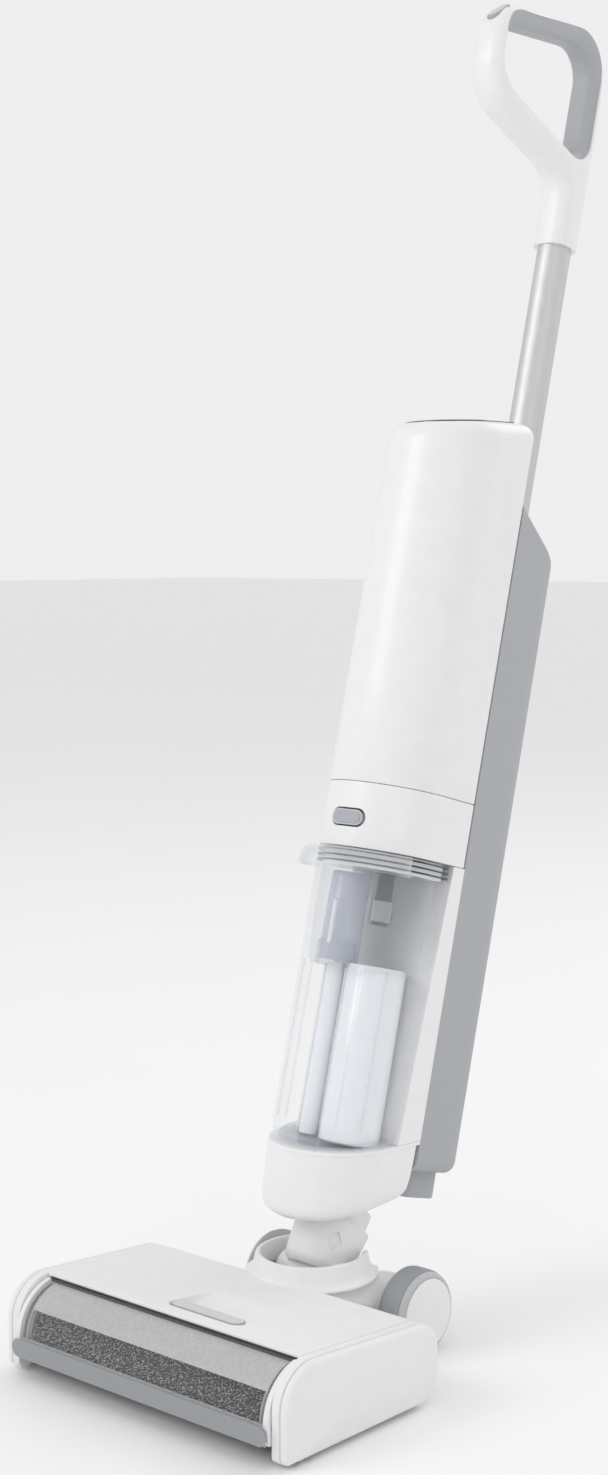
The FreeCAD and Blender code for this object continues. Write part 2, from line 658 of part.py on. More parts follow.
def make_base():
    """The white base under the tank, its deck and the collar that turns on the neck."""
    outer = horseshoe_block("base_outer", "tower_radius", "tower_back", base_side("0", "-3"))
    inner = horseshoe_block("base_inner", "tower_radius - shell_wall", "tower_back - shell_wall",
                            base_side("shell_wall", "2"))
    cup = combine("Cut", "base_cup", outer, inner)
    collar = upright_bar("swivel_collar", "neck_length + 0.3", "neck_length + 22",
                         (draw_circle, "0", "0", "neck_top_radius + 1"))
    space = upright_bar("swivel_space", "neck_length - 1", "neck_length + 23",
                        (draw_circle, "0", "0", "neck_low_radius - 1 + running_gap"))
    add(space, "XY_Plane", "neck_length - 24", "neck_length + 0.3",
        (draw_circle, "0", "0", "neck_top_radius + 1.3"))
    for part in (collar, space):
        part.Placement = TOWER.inverse().multiply(NECK)
    joined = combine("Fuse", "base_and_collar", cup, collar)
    keep(combine("Cut", "base_shell", joined, space), TOWER)
    deck = horseshoe_block("deck", "tower_radius", "tower_back", [
        (depth, slanted(f"deck_front + {lift}", "deck_slope", depth))
        for depth, lift in (("-80", "-3"), ("tower_back + 1", "-3"), ("tower_back + 1", "0"), ("-80", "0"))])
    hole = rod("deck_hole", "pipe_radius", "40", FreeCAD.Placement(V(0, 0, number("deck_front - 5")),
                                                                   FreeCAD.Rotation()))
    keep(combine("Cut", "tank_dock", deck, hole), TOWER)


def make_spine():
    """The channel behind the tank that joins the base to the motor section."""
    low = slanted("deck_front", "deck_slope", "tank_back_low")
    spine = across_bar("tower_spine", "-tower_radius", "tower_radius", (draw_polygon, [
        ("tank_back_low + 0.6", f"{low} + 0.3"), ("tower_back", slanted("deck_front + 0.3", "deck_slope",
                                                                        "tower_back")),
        ("tower_back", "ring_low - seam_gap"), ("tank_back_high + 0.6", "ring_low - seam_gap")]))
    carve(spine, "YZ_Plane", "-(tower_radius - shell_wall)", "tower_radius - shell_wall", (draw_polygon, [
        ("tank_back_low + 0.6 + shell_wall", f"{low} + 5"), ("tower_back + 1", f"{low} + 9"),
        ("tower_back + 1", "ring_low - 4"), ("tank_back_high + 0.6 + shell_wall", "ring_low - 4")]))
    keep(spine, TOWER)


def make_upper_shells():
    """The motor cover ring, the upper front shell, the top cap and its display."""
    ring = upright_bar("motor_cover", "ring_low", "ring_high", (draw_horseshoe, "tower_radius",
                                                                "tower_back"))
    carve(ring, "XY_Plane", "ring_low + shell_wall", "ring_high + 1", (draw_horseshoe,
          "tower_radius - shell_wall", "tower_back - shell_wall"))
    carve(ring, "XY_Plane", "ring_low - 1", "ring_low + shell_wall + 1", (draw_circle, "0", "0", "18"))
    carve(ring, "XZ_Plane", "tower_radius - 12", "tower_radius + 1", (draw_polygon, rectangle(
        "-(button_long/2 + seam_gap)", "button_level - button_high/2 - seam_gap",
        "button_long/2 + seam_gap", "button_level + button_high/2 + seam_gap")))
    keep(ring, TOWER)

    def level(height, depth):
        return f"({height})/cos(lean) + ({depth})*tan(lean)"

    def below(height, floor):
        return [("-80", floor), ("80", floor), ("80", level(height, "80")), ("-80", level(height, "-80"))]

    low = "ring_high + seam_gap"
    outer = horseshoe_block("upper_outer", "tower_radius", "tower_back",
                            below("cap_level - cap_thick - seam_gap", low))
    inner = horseshoe_block("upper_inner", "tower_radius - shell_wall", "tower_back - shell_wall",
                            below("cap_level + 5", "ring_high - 5"))
    keep(combine("Cut", "upper_front_shell", outer, inner), TOWER)
    slab = [("-80", level("cap_level - cap_thick", "-80")), ("80", level("cap_level - cap_thick", "80")),
            ("80", level("cap_level", "80")), ("-80", level("cap_level", "-80"))]
    cap = horseshoe_block("cap", "tower_radius", "tower_back", slab)
    middle = V(0, number("tower_foot + cap_level*tan(lean)"), number("cap_level"))
    place = TOWER.inverse().multiply(FreeCAD.Placement(middle - V(0, 0, 1.8), FreeCAD.Rotation()))
    pocket = rod("display_pocket", "34.3", "3", place)
    keep(combine("Cut", "top_cap", cap, pocket), TOWER)
    keep(rod("display_lens", "34", "1.6", FreeCAD.Placement(V(0, 0, 0.1), FreeCAD.Rotation())),
         FreeCAD.Placement(middle - V(0, 0, 1.8), FreeCAD.Rotation()))


def make_rear_housing():
    """The grey rear housing with its opening for the clean tank, and the charging foot."""
    slope = "housing_high - housing_fall*(housing_back - tower_back)"
    housing = across_bar("rear_housing", "-tower_radius", "tower_radius", (draw_polygon, [
        ("tower_back + seam_gap", "housing_low"), ("housing_back", "housing_low"),
        ("housing_back", slope), ("tower_back + seam_gap", "housing_high")]))
    pad = housing.Tip
    bottom = round_corners(housing, pad, V(1, 0, 0), [side_corner("housing_back", "housing_low")], "20")
    keep_corners = upright_bar("housing_plan", "housing_low - 5", "housing_high + 5",
                               (draw_polygon, rectangle("-tower_radius", "tower_back - 5",
                                                        "tower_radius", "housing_back")))
    round_corners(keep_corners, keep_corners.Tip, V(0, 0, 1), [
        plan_corner("-tower_radius", "housing_back"), plan_corner("tower_radius", "housing_back")],
        "housing_round")
    outer = combine("Common", "housing_outer", housing, keep_corners)
    inner_side = across_bar("housing_inner_side", "-(tower_radius - shell_wall)",
                            "tower_radius - shell_wall", (draw_polygon, [
                                ("tower_back - 2", "housing_low + shell_wall"),
                                ("housing_back - shell_wall - 18", "housing_low + shell_wall"),
                                ("housing_back - shell_wall", "housing_low + shell_wall + 18"),
                                ("housing_back - shell_wall", f"{slope} - 4"),
                                ("tower_back - 2", "housing_high - 3")]))
    inner_plan = upright_bar("housing_inner_plan", "housing_low - 5", "housing_high + 5",
                             (draw_polygon, rectangle("-(tower_radius - shell_wall)", "tower_back - 5",
                                                      "tower_radius - shell_wall",
                                                      "housing_back - shell_wall")))
    round_corners(inner_plan, inner_plan.Tip, V(0, 0, 1), [
        plan_corner("-(tower_radius - shell_wall)", "housing_back - shell_wall"),
        plan_corner("tower_radius - shell_wall", "housing_back - shell_wall")],
        "housing_round - shell_wall")
    inner = combine("Common", "housing_inner", inner_side, inner_plan)
    hollow = combine("Cut", "housing_hollow", outer, inner)
    openings = new_body("housing_openings")
    add(openings, "XZ_Plane", "-(housing_back + 5)", "-(clean_front - 1)", (draw_polygon, rectangle(
        "-(clean_half + seam_gap)", "clean_low - seam_gap", "clean_half + seam_gap",
        "clean_high + seam_gap")))
    add(openings, "XY_Plane", f"{slope} - 20", "housing_high + 20",
        (draw_circle, "0", "tube_depth", "tube_radius + seam_gap"))
    keep(combine("Cut", "rear_housing_shell", hollow, openings), TOWER)
    foot = new_body("charging_foot")
    pad = add(foot, "XY_Plane", "127", "housing_low", (draw_polygon, rectangle(
        "-30", "62", "30", "housing_back - 8")))
    round_corners(foot, pad, V(0, 0, 1), [plan_corner(x, y) for x in ("-30", "30")
                                          for y in ("62", "housing_back - 8")], "8")
    keep(foot, TOWER)


def make_tower_inside():
    """The suction motor, filter, battery, control board and water pump."""
    keep(upright_bar("air_filter", "ring_low + 3", "ring_low + 32", (draw_circle, "0", "0", "28"),
                     (draw_circle, "0", "0", "19")), TOWER)
    fan = new_body("impeller")
    add(fan, "XY_Plane", "ring_high - 7", "ring_high + 5", (draw_circle, "0", "0", "30"))
    add(fan, "XY_Plane", "ring_high + 5", "ring_high + 40", (draw_circle, "0", "0", "3"))
    keep(fan, TOWER)
    motor = upright_bar("suction_motor", "ring_high + 7", "ring_high + 75", (draw_circle, "0", "0", "36"))
    carve(motor, "XY_Plane", "ring_high + 6", "ring_high + 41",
          (draw_circle, "0", "0", "3 + running_gap"))
    keep(motor, TOWER)
    keep(upright_bar("battery_pack", "185", "ring_low - 6", (draw_polygon, rectangle(
        "-38", "tank_back_high + 5", "38", "clean_front - 1.5"))), TOWER)
    keep(upright_bar("control_board", "ring_high + 110", "ring_high + 230", (draw_polygon, rectangle(
        "-32", "30", "32", "31.6"))), TOWER)
    keep(upright_bar("water_pump", "168", "212", (draw_polygon, rectangle("-18", "66", "18", "102"))), TOWER)


def make_clean_tank():
    """The clean-water tank that slides out of the back, with its filler cap."""
    tank = upright_bar("clean_tank", "clean_low", "clean_high", (draw_polygon, rectangle(
        "-clean_half", "clean_front", "clean_half", "housing_back")))
    carve(tank, "XY_Plane", "clean_low + tank_wall", "clean_high - tank_wall", (draw_polygon, rectangle(
        "-(clean_half - tank_wall)", "clean_front + tank_wall", "clean_half - tank_wall",
        "housing_back - tank_wall")))
    carve(tank, "XY_Plane", "clean_high - tank_wall - 1", "clean_high + 1",
          (draw_circle, "0", "(clean_front + housing_back)/2", "14"))
    keep(tank, TOWER)
    keep(upright_bar("clean_tank_cap", "clean_high - 8", "clean_high",
                     (draw_circle, "0", "(clean_front + housing_back)/2", "13.9")), TOWER)


def make_dirty_tank():
    """The clear dirty-water tank with its lid, seals, hooded pipe and float."""
    def side(inset, top):
        return [("-80", slanted(f"deck_front + 0.4 + {inset}", "deck_slope", "-80")),
                (f"tank_back_low - {inset}", slanted(f"deck_front + 0.4 + {inset}", "deck_slope",
                                                     f"tank_back_low - {inset}")),
                (f"tank_back_high - {inset}", top), ("-80", top)]

    outer = horseshoe_block("tank_outer", "tower_radius - 0.2", "tower_back", side("0", "ring_low - 0.4"))
    inner = horseshoe_block("tank_inner", "tower_radius - 0.2 - tank_wall", "tower_back",
                            side("tank_wall", "ring_low + 2"))
    keep(combine("Cut", "dirty_tank", outer, inner), TOWER)
    lid = upright_bar("tank_lid", "ring_low - 14", "ring_low - 0.5", (draw_horseshoe,
                      "tower_radius - tank_wall - 2.2", "tank_back_high - tank_wall - 3"))
    carve(lid, "XY_Plane", "ring_low - 15", "ring_low - 3", (draw_horseshoe,
          "tower_radius - tank_wall - 4.2", "tank_back_high - tank_wall - 5"))
    carve(lid, "XY_Plane", "ring_low - 5", "ring_low + 1", (draw_circle, "0", "0", "16"))
    keep(lid, TOWER)
    seals = new_body("tank_seals")
    for drop in ("12.5", "8.5", "4.5"):
        add(seals, "XY_Plane", f"ring_low - {drop}", f"ring_low - {drop} + 1.6",
            (draw_horseshoe, "tower_radius - tank_wall - 0.6", "tank_back_high - tank_wall - 1.6"),
            (draw_horseshoe, "tower_radius - tank_wall - 2.2", "tank_back_high - tank_wall - 3"))
    keep(seals, TOWER)
    pipe = upright_bar("pipe_wall", f"{slanted('deck_front', 'deck_slope', '12')} + 3.2", "350",
                       (draw_circle, "0", "0", "pipe_radius"), (draw_circle, "0", "0", "pipe_radius - 1.6"))
    carve(pipe, "YZ_Plane", "-20", "20", (draw_polygon, rectangle("-20", "334", "20", "344")))
    hood = upright_bar("pipe_hood", "325", "350", (draw_circle, "0", "0", "pipe_radius + 8"))
    carve(hood, "XY_Plane", "324", "347", (draw_circle, "0", "0", "pipe_radius + 6.4"))
    keep(combine("Fuse", "suction_pipe", pipe, hood), TOWER)
    spot = ("tower_radius*28/51.7", "-tower_radius*24/51.7")
    cage = upright_bar("float_cage", "335", "ring_low - 14.3", (draw_circle, *spot, "9.4"),
                       (draw_circle, *spot, "8"))
    keep(cage, TOWER)
    keep(upright_bar("tank_float", "338", "354", (draw_circle, *spot, "7.6")), TOWER)


def make_release_button():
    """The tank release button in the motor cover."""
    button = new_body("tank_release_button")
    pad = add(button, "XZ_Plane", "tower_radius - 8", "tower_radius - 0.9", (draw_polygon, rectangle(
        "-button_long/2", "button_level - button_high/2", "button_long/2",
        "button_level + button_high/2")))
    round_corners(button, pad, V(0, 1, 0), [V(number(f"{side}*button_long/2"), 0, number(
        f"button_level + {end}*button_high/2")) for side in (-1, 1) for end in (-1, 1)], "button_high/2 - 0.1")
    keep(button, TOWER)


# ---------------------------------------------------------------- handle
def grip_outline(front, rear, drop, lift):
    """A closed loop of the grip: level top bar, upright back, falling front strut."""
    def top(depth):
        return f"grip_top - ({drop}) + ({depth})*tan(lean)"

    def chin(depth):
        return f"grip_chin + ({lift}) - ({depth})*chin_fall"

    return [(front, top(front)), (rear, top(rear)), (rear, chin(rear)), (front, chin(front))]


def grip_loop(body, low, high, corners, rounds):
    """Pad one grip loop and round its four corners with their own radii."""
    pad = add(body, "YZ_Plane", low, high, (draw_polygon, corners))
    for corner, radius in zip(corners, rounds):
        pad = round_corners(body, pad, V(1, 0, 0), [side_corner(*corner)], radius)
    return body


def make_handle():
    """The pole, the white grip shell with its grey liner, and the power button."""
    pole = upright_bar("handle_tube", "tube_low", "grip_chin - 20",
                       (draw_circle, "0", "tube_depth", "tube_radius"),
                       (draw_circle, "0", "tube_depth", "tube_radius - tube_wall"))
    keep(pole, TOWER)
    rear = "tube_depth + tube_radius + 2.5"
    loop = grip_loop(new_body("grip_loop"), "-grip_half", "grip_half",
                     grip_outline("grip_front", rear, "0", "0"), ("grip_round", "38", "4", "40"))
    stem = upright_bar("grip_stem", "collar_low", "grip_chin + 8",
                       (draw_circle, "0", "tube_depth", "tube_radius + 1.6"))
    joined = combine("Fuse", "grip_solid", loop, stem)
    rim = grip_outline("grip_front + 7", f"{rear} - 9", "5", "15.3")
    space = grip_loop(new_body("grip_space"), "-(grip_half + 1)", "grip_half + 1", rim,
                      ("22", "32", "24", "30"))
    add(space, "XY_Plane", "collar_low - 1", "grip_chin - 20",
        (draw_circle, "0", "tube_depth", "tube_radius"))
    open_loop = combine("Cut", "grip_open", joined, space)
    middle = V(0, number("grip_front + grip_round"),
               number("grip_top + grip_front*tan(lean) - grip_round*tan(45 - lean/2)"))
    corner = FreeCAD.Placement(middle, FreeCAD.Rotation(V(1, 0, 0), 45))
    recess = button_block("power_recess", "13.5", "6.3", "grip_round - 7.5", "grip_round + 5")
    recess.Placement = corner
    keep(combine("Cut", "grip_shell", open_loop, recess), TOWER)
    ring = grip_loop(new_body("liner_loop"), "-(grip_half - 2)", "grip_half - 2", rim,
                     ("22", "32", "24", "30"))
    liner = combine("Cut", "liner_solid", ring, recess)
    hole = grip_loop(new_body("grip_hole"), "-(grip_half + 1)", "grip_half + 1",
                     grip_outline("grip_front + 13", f"{rear} - 18", "18", "20.3"),
                     ("16", "24", "18", "24"))
    keep(combine("Cut", "grip_liner", liner, hole), TOWER)
    button = button_block("power_button", "13", "5.8", "grip_round - 5", "grip_round - 1.2")
    button.Placement = corner
    keep(button, TOWER)


def button_block(label, half_long, half_wide, low, high):
    """A long oval block that stands on its own plane."""
    body = new_body(label)
    pad = add(body, "XY_Plane", low, high, (draw_polygon, rectangle(
        f"-{half_wide}", f"-{half_long}", half_wide, half_long)))
    round_corners(body, pad, V(0, 0, 1), [plan_corner(f"{x}*{half_wide}", f"{y}*{half_long}")
                                          for x in (-1, 1) for y in (-1, 1)], f"{half_wide} - 0.2")
    return body


# ---------------------------------------------------------------- build, check and write
def check_document():
    """Stop if any object failed or any node's solid is missing or broken."""
    doc.recompute()
    for thing in doc.Objects:
        assert not {"Invalid", "Error"} & set(thing.State), f"{thing.Label} failed: {thing.State}"
    for node in NODES:
        assert not node.Shape.isNull() and node.Shape.isValid(), f"{node.Label} is not valid"
        assert node.Shape.Solids, f"{node.Label} has no solid"


def centre_on_floor():
    """Move every node so that the origin lies under the centre of the whole machine."""
    box = FreeCAD.BoundBox()
    for node in NODES:
        box.add(node.Shape.optimalBoundingBox(False, False))
    for node in NODES:
        node.Placement.Base = node.Placement.Base - V(box.Center.x, box.Center.y, box.ZMin)
    print("origin moved by", box.Center.x, box.Center.y, box.ZMin)
    print("overall size", box.XLength, box.YLength, box.ZLength)


def write_parts():
    """Write one STEP file for each node."""
    os.makedirs("parts", exist_ok=True)
    for node in NODES:
        node.Shape.exportStep(f"parts/{node.Label}.step")
    print(len(NODES), "nodes")


for make in (make_side_frames, make_tray, make_top_cover, make_bridge, make_socket, make_roller,
             make_brush_drive, make_head_inside, make_roller_cover, make_latch,
             make_wheels, make_neck, make_base, make_spine, make_upper_shells, make_rear_housing,
             make_tower_inside, make_clean_tank, make_dirty_tank, make_release_button, make_handle):
    make()
check_document()
centre_on_floor()
check_document()
write_parts()
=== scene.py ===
"""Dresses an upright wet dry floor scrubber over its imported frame.

Sizes are in millimetres and belong to one of three drawing frames: the cleaning head on the
floor, the leaning tower, and the short neck between them. Place turns them into the frame of
the whole machine, in metres.
"""
import json
import logging
import math
from dataclasses import dataclass
from enum import Enum
from typing import Callable, Iterable, Optional, Sequence, Union

import bmesh
import bpy
import numpy as np
from mathutils import Matrix, Vector


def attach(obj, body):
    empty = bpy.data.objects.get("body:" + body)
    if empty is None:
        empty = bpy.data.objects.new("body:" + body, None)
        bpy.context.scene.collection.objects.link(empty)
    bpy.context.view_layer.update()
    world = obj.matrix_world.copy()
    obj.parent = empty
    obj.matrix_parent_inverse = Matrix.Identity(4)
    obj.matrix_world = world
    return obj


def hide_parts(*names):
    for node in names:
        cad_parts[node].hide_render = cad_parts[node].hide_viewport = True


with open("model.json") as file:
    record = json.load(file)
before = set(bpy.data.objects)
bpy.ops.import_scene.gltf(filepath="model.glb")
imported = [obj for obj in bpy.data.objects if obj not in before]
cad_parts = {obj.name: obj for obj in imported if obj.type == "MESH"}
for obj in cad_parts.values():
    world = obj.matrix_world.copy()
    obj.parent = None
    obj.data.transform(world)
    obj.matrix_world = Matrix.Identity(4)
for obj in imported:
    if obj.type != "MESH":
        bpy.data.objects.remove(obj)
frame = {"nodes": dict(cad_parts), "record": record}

LOG = logging.getLogger("floor_scrubber")
MM = 0.001
ROW_SHIFT = 277.729
LEAN = math.radians(14.91)
Height = Union[float, Callable[[np.ndarray], np.ndarray]]
Color = tuple[float, float, float]


class Place(Enum):
    """A drawing frame: its lean in degrees, and the depth and height of its origin."""

    HEAD = (0.0, 0.0, 0.0)
    TOWER = (14.91, 173.7, 0.0)
    NECK = (35.0, 190.0, 58.0)

    def to_row(self, points: Sequence) -> np.ndarray:
        """Moves points from this drawing frame to the machine's frame.

        Args:
            points: Rows of across, depth and height in millimetres.

        Returns:
            The same rows in metres.
        """
        lean, depth, height = self.value
        turn = math.radians(lean)
        rows = np.asarray(points, dtype=float).reshape(-1, 3)
        back = depth + rows[:, 1] * math.cos(turn) + rows[:, 2] * math.sin(turn) - ROW_SHIFT
        up = height - rows[:, 1] * math.sin(turn) + rows[:, 2] * math.cos(turn)
        return np.column_stack((rows[:, 0], back, up)) * MM


class Facing(Enum):
    """The plane that a flat outline is drawn on; its third direction is the level."""

    TOP = (0, 1, 2)
    FRONT = (0, 2, 1)
    SIDE = (1, 2, 0)

    def lay(self, outline: np.ndarray, level: Height) -> np.ndarray:
        """Puts an outline at a level.

        Args:
            outline: Rows of two coordinates on the plane.
            level: One level, or a rule that gives it from the outline's second coordinate.

        Returns:
            Rows of across, depth and height.
        """
        rows = np.zeros((len(outline), 3))
        rows[:, self.value[0]] = outline[:, 0]
        rows[:, self.value[1]] = outline[:, 1]
        rows[:, self.value[2]] = level(outline[:, 1]) if callable(level) else level
        return rows


class Cap(Enum):
    """How the end of a loft is closed."""

    OPEN = "open"
    FAN = "fan"
    LADDER = "ladder"
    SINGLE = "single"


# ---------------------------------------------------------------- outlines
def rounded(corners: Sequence, radii: Sequence[float], inset: float = 0.0, steps: int = 7) -> np.ndarray:
    """Draws a polygon with round corners.

    Args:
        corners: Corner points in order.
        radii: One radius for each corner.
        inset: How far every side is moved inwards.
        steps: Parts in each rounded corner.

    Returns:
        The outline's points; their number doesn't depend on the inset.
    """
    spots = [np.array(corner, dtype=float) for corner in corners]
    count = len(spots)
    area = sum(spots[i - 1][0] * spots[i][1] - spots[i][0] * spots[i - 1][1] for i in range(count))
    turn = 1.0 if area > 0 else -1.0
    ways = [(spots[(i + 1) % count] - spots[i]) for i in range(count)]
    ways = [way / np.linalg.norm(way) for way in ways]
    inward = [turn * np.array((-way[1], way[0])) for way in ways]
    moved = []
    for i in range(count):
        before, after = i - 1, i
        sides = np.array((inward[before], inward[after]))
        offsets = np.array((inward[before] @ spots[i], inward[after] @ spots[i])) + inset
        moved.append(np.linalg.solve(sides, offsets))
    outline = []
    for i in range(count):
        into, out = ways[i - 1], ways[i]
        bend = into[0] * out[1] - into[1] * out[0]
        angle = math.atan2(bend, into @ out)
        radius = max(radii[i] - inset * math.copysign(1, bend * turn), 0.05)
        room = 0.49 * min(np.linalg.norm(moved[i] - moved[i - 1]),
                          np.linalg.norm(moved[(i + 1) % count] - moved[i]))
        reach = min(radius * math.tan(abs(angle) / 2), room)
        radius = reach / math.tan(abs(angle) / 2)
        side = math.copysign(1, bend) * np.array((-into[1], into[0]))
        start = moved[i] - into * reach
        centre = start + side * radius
        arm = start - centre
        for step in range(steps + 1):
            part = angle * step / steps
            outline.append(centre + np.array((arm[0] * math.cos(part) - arm[1] * math.sin(part),
                                              arm[0] * math.sin(part) + arm[1] * math.cos(part))))
    return np.array(outline)


def box_outline(low: Sequence[float], high: Sequence[float], radius: float, inset: float = 0.0,
                steps: int = 7) -> np.ndarray:
    """A rectangle with four equal round corners, given by two opposite corners."""
    corners = [(low[0], low[1]), (high[0], low[1]), (high[0], high[1]), (low[0], high[1])]
    return rounded(corners, [radius] * 4, inset, steps)


def smooth_loop(points: Sequence, parts: int = 6) -> np.ndarray:
    """Draws a smooth closed curve through points.

    Args:
        points: The points that it passes through.
        parts: Parts between two of them.

    Returns:
        The curve's points.
    """
    spots = np.array(points, dtype=float)
    curve = []
    for i in range(len(spots)):
        a, b, c, d = (spots[(i + k) % len(spots)] for k in (-1, 0, 1, 2))
        for t in np.linspace(0, 1, parts, endpoint=False):
            curve.append(0.5 * (2 * b + (c - a) * t + (2 * a - 5 * b + 4 * c - d) * t ** 2
                                + (3 * b - a - 3 * c + d) * t ** 3))
    return np.array(curve)


def drawn_in(outline: np.ndarray, inset: float) -> np.ndarray:
    """Moves a smooth outline inwards.

    Args:
        outline: A closed outline that runs anticlockwise.
        inset: How far each point is moved.

    Returns:
        The new points.
    """
    along = np.roll(outline, -1, axis=0) - np.roll(outline, 1, axis=0)
    along /= np.linalg.norm(along, axis=1)[:, None]
    return outline + inset * np.column_stack((-along[:, 1], along[:, 0]))


def spokes(outline: np.ndarray, centre: Sequence[float], count: int) -> np.ndarray:
    """Measures an outline along spokes from a point inside it.

    Args:
        outline: A closed outline that every spoke crosses once.
        centre: Where the spokes start.
        count: The number of spokes.

    Returns:
        The length of each spoke, the first one along the first axis.
    """
    arms = outline - np.array(centre)
    angles = np.unwrap(np.arctan2(arms[:, 1], arms[:, 0]))
    if angles[-1] < angles[0]:
        arms, angles = arms[::-1], np.unwrap(np.arctan2(arms[::-1, 1], arms[::-1, 0]))
    lengths = []
    for angle in np.arange(count) * 2 * math.pi / count:
        way = np.array((math.cos(angle), math.sin(angle)))
        best = 0.0
        for a, b in zip(arms, np.roll(arms, -1, axis=0)):
            side_a, side_b = way[0] * a[1] - way[1] * a[0], way[0] * b[1] - way[1] * b[0]
            if side_a * side_b <= 0 and side_a != side_b:
                spot = a + (b - a) * side_a / (side_a - side_b)
                best = max(best, float(spot @ way))
        lengths.append(best)
    return np.array(lengths)


def tower_plan(radius: float, back: float, corner: float = 3.0, steps: int = 40) -> np.ndarray:
    """Draws the plan of the tower: half round in front, straight sides, flat back.

    Args:
        radius: Radius of the round front, and half the width.
        back: Depth of the flat back.
        corner: Radius of the two back corners.
        steps: Parts in each quarter of the front.

    Returns:
        Points from the front centre round to it again; opposite points mirror each other.
    """
    half = [(radius * math.sin(a), -radius * math.cos(a))
            for a in (math.pi / 2 * (k + 0.5) / steps for k in range(steps))]
    half += [(radius, depth) for depth in np.linspace(0, back - corner, 8)]
    half += [(radius - corner * (1 - math.cos(a)), back - corner * (1 - math.sin(a)))
             for a in np.linspace(0, math.pi / 2, 9)[1:]]
    half += [(across, back) for across in np.linspace(radius - corner, 0.6, 7)[1:]]
    return np.array(half + [(-across, depth) for across, depth in reversed(half)])


# Radius of the tower's round front.
TOWER_RADIUS = 51.7


def level_height(height: float) -> Callable[[np.ndarray], np.ndarray]:
    """The rule for a plane that is level on the standing machine, at a height from the floor."""
    return lambda depth: height / math.cos(LEAN) + depth * math.tan(LEAN)


def slanted(front: float, slope: float) -> Callable[[np.ndarray], np.ndarray]:
    """The rule for a slanted plane, from its height at the tower's front face."""
    return lambda depth: front + slope * (depth + TOWER_RADIUS)


# ---------------------------------------------------------------- meshes
def shade(piece: bpy.types.Object, sharp: float = 34.0) -> bpy.types.Object:
    """Smooths a piece's faces and keeps its edges sharp above an angle in degrees."""
    mesh = piece.data
    mesh.polygons.foreach_set("use_smooth", [True] * len(mesh.polygons))
    mesh.set_sharp_from_angle(angle=math.radians(sharp))
    mesh.update()
    return piece


def solid(name: str, points: np.ndarray, faces: Iterable[Sequence[int]], place: Place,
          sharp: float = 34.0) -> bpy.types.Object:
    """Makes a closed mesh object.

    Args:
        name: The piece's name.
        points: Corner points in the drawing frame.
        faces: Corner numbers of each face.
        place: The drawing frame.
        sharp: Angle in degrees above which an edge stays sharp.

    Returns:
        The object, with its place in its mesh.
    """
    mesh = bpy.data.meshes.new(name)
    mesh.from_pydata(place.to_row(points).tolist(), [], [tuple(face) for face in faces])
    work = bmesh.new()
    work.from_mesh(mesh)
    bmesh.ops.remove_doubles(work, verts=work.verts, dist=2e-6)
    bmesh.ops.dissolve_degenerate(work, edges=work.edges, dist=1e-6)
    bmesh.ops.recalc_face_normals(work, faces=work.faces)
    work.to_mesh(mesh)
    work.free()
    piece = bpy.data.objects.new(name, mesh)
    bpy.context.scene.collection.objects.link(piece)
    return shade(piece, sharp)


def loft(name: str, rings: Sequence[np.ndarray], place: Place, start: Cap = Cap.FAN, end: Cap = Cap.FAN,
         looped: bool = False, sharp: float = 34.0) -> bpy.types.Object:
    """Skins a row of closed rings.

    Args:
        name: The piece's name.
        rings: Rings with the same number of points.
        place: The drawing frame.
        start: How the first ring is closed.
        end: How the last ring is closed.
        looped: True if the last ring joins the first.
        sharp: Angle in degrees above which an edge stays sharp.

    Returns:
        The object.
    """
    count, size = len(rings), len(rings[0])
    points = np.vstack(rings)
    faces = []
    for row in range(count if looped else count - 1):
        here, there = row * size, (row + 1) % count * size
        faces += [(here + i, here + (i + 1) % size, there + (i + 1) % size, there + i) for i in range(size)]
    for cap, first in () if looped else ((start, 0), (end, (count - 1) * size)):
        if cap is Cap.FAN:
            middle = points[first:first + size].mean(axis=0)
            points = np.vstack((points, middle))
            faces += [(first + i, first + (i + 1) % size, len(points) - 1) for i in range(size)]
        elif cap is Cap.LADDER:
            faces += [(first + i, first + i + 1, first + size - 2 - i, first + size - 1 - i)
                      for i in range(size // 2 - 1)]
        elif cap is Cap.SINGLE:
            faces.append(tuple(range(first, first + size)))
    return solid(name, points, faces, place, sharp)


def slab(name: str, outline: Callable[[float], np.ndarray], facing: Facing, low: float, high: float,
         place: Place, low_edge: float = 0.0, high_edge: float = 0.0, fall: float = 0.0,
         crown: float = 0.0, cap: Cap = Cap.FAN) -> bpy.types.Object:
    """Makes a plate with round edges.

    Args:
        name: The piece's name.
        outline: Gives the outline at an inset.
        facing: The plane of the outline.
        low: Level of the first face.
        high: Level of the last face.
        place: The drawing frame.
        low_edge: Radius of the edge at the first face.
        high_edge: Radius of the edge at the last face.
        fall: How much the levels drop along the outline's second coordinate.
        crown: How much the middle of the last face stands above its edge.
        cap: How both faces are closed.

    Returns:
        The object.
    """
    stack = []
    for edge, level, sense in ((low_edge, low, 1), (high_edge, high, -1)):
        turns = np.linspace(0, math.pi / 2, 6) if edge else [math.pi / 2]
        part = [(edge * (1 - math.sin(a)), level + sense * edge * (1 - math.cos(a))) for a in turns]
        stack += part if sense > 0 else part[::-1]
    if crown:
        last = high_edge
        stack += [(last + k, high + crown * (1 - (1 - k / 3) ** 2)) for k in (1.0, 2.0, 3.0)]
    rings = [facing.lay(outline(inset), lambda second, at=level: at - fall * second)
             for inset, level in stack]
    return loft(name, rings, place, cap, cap)


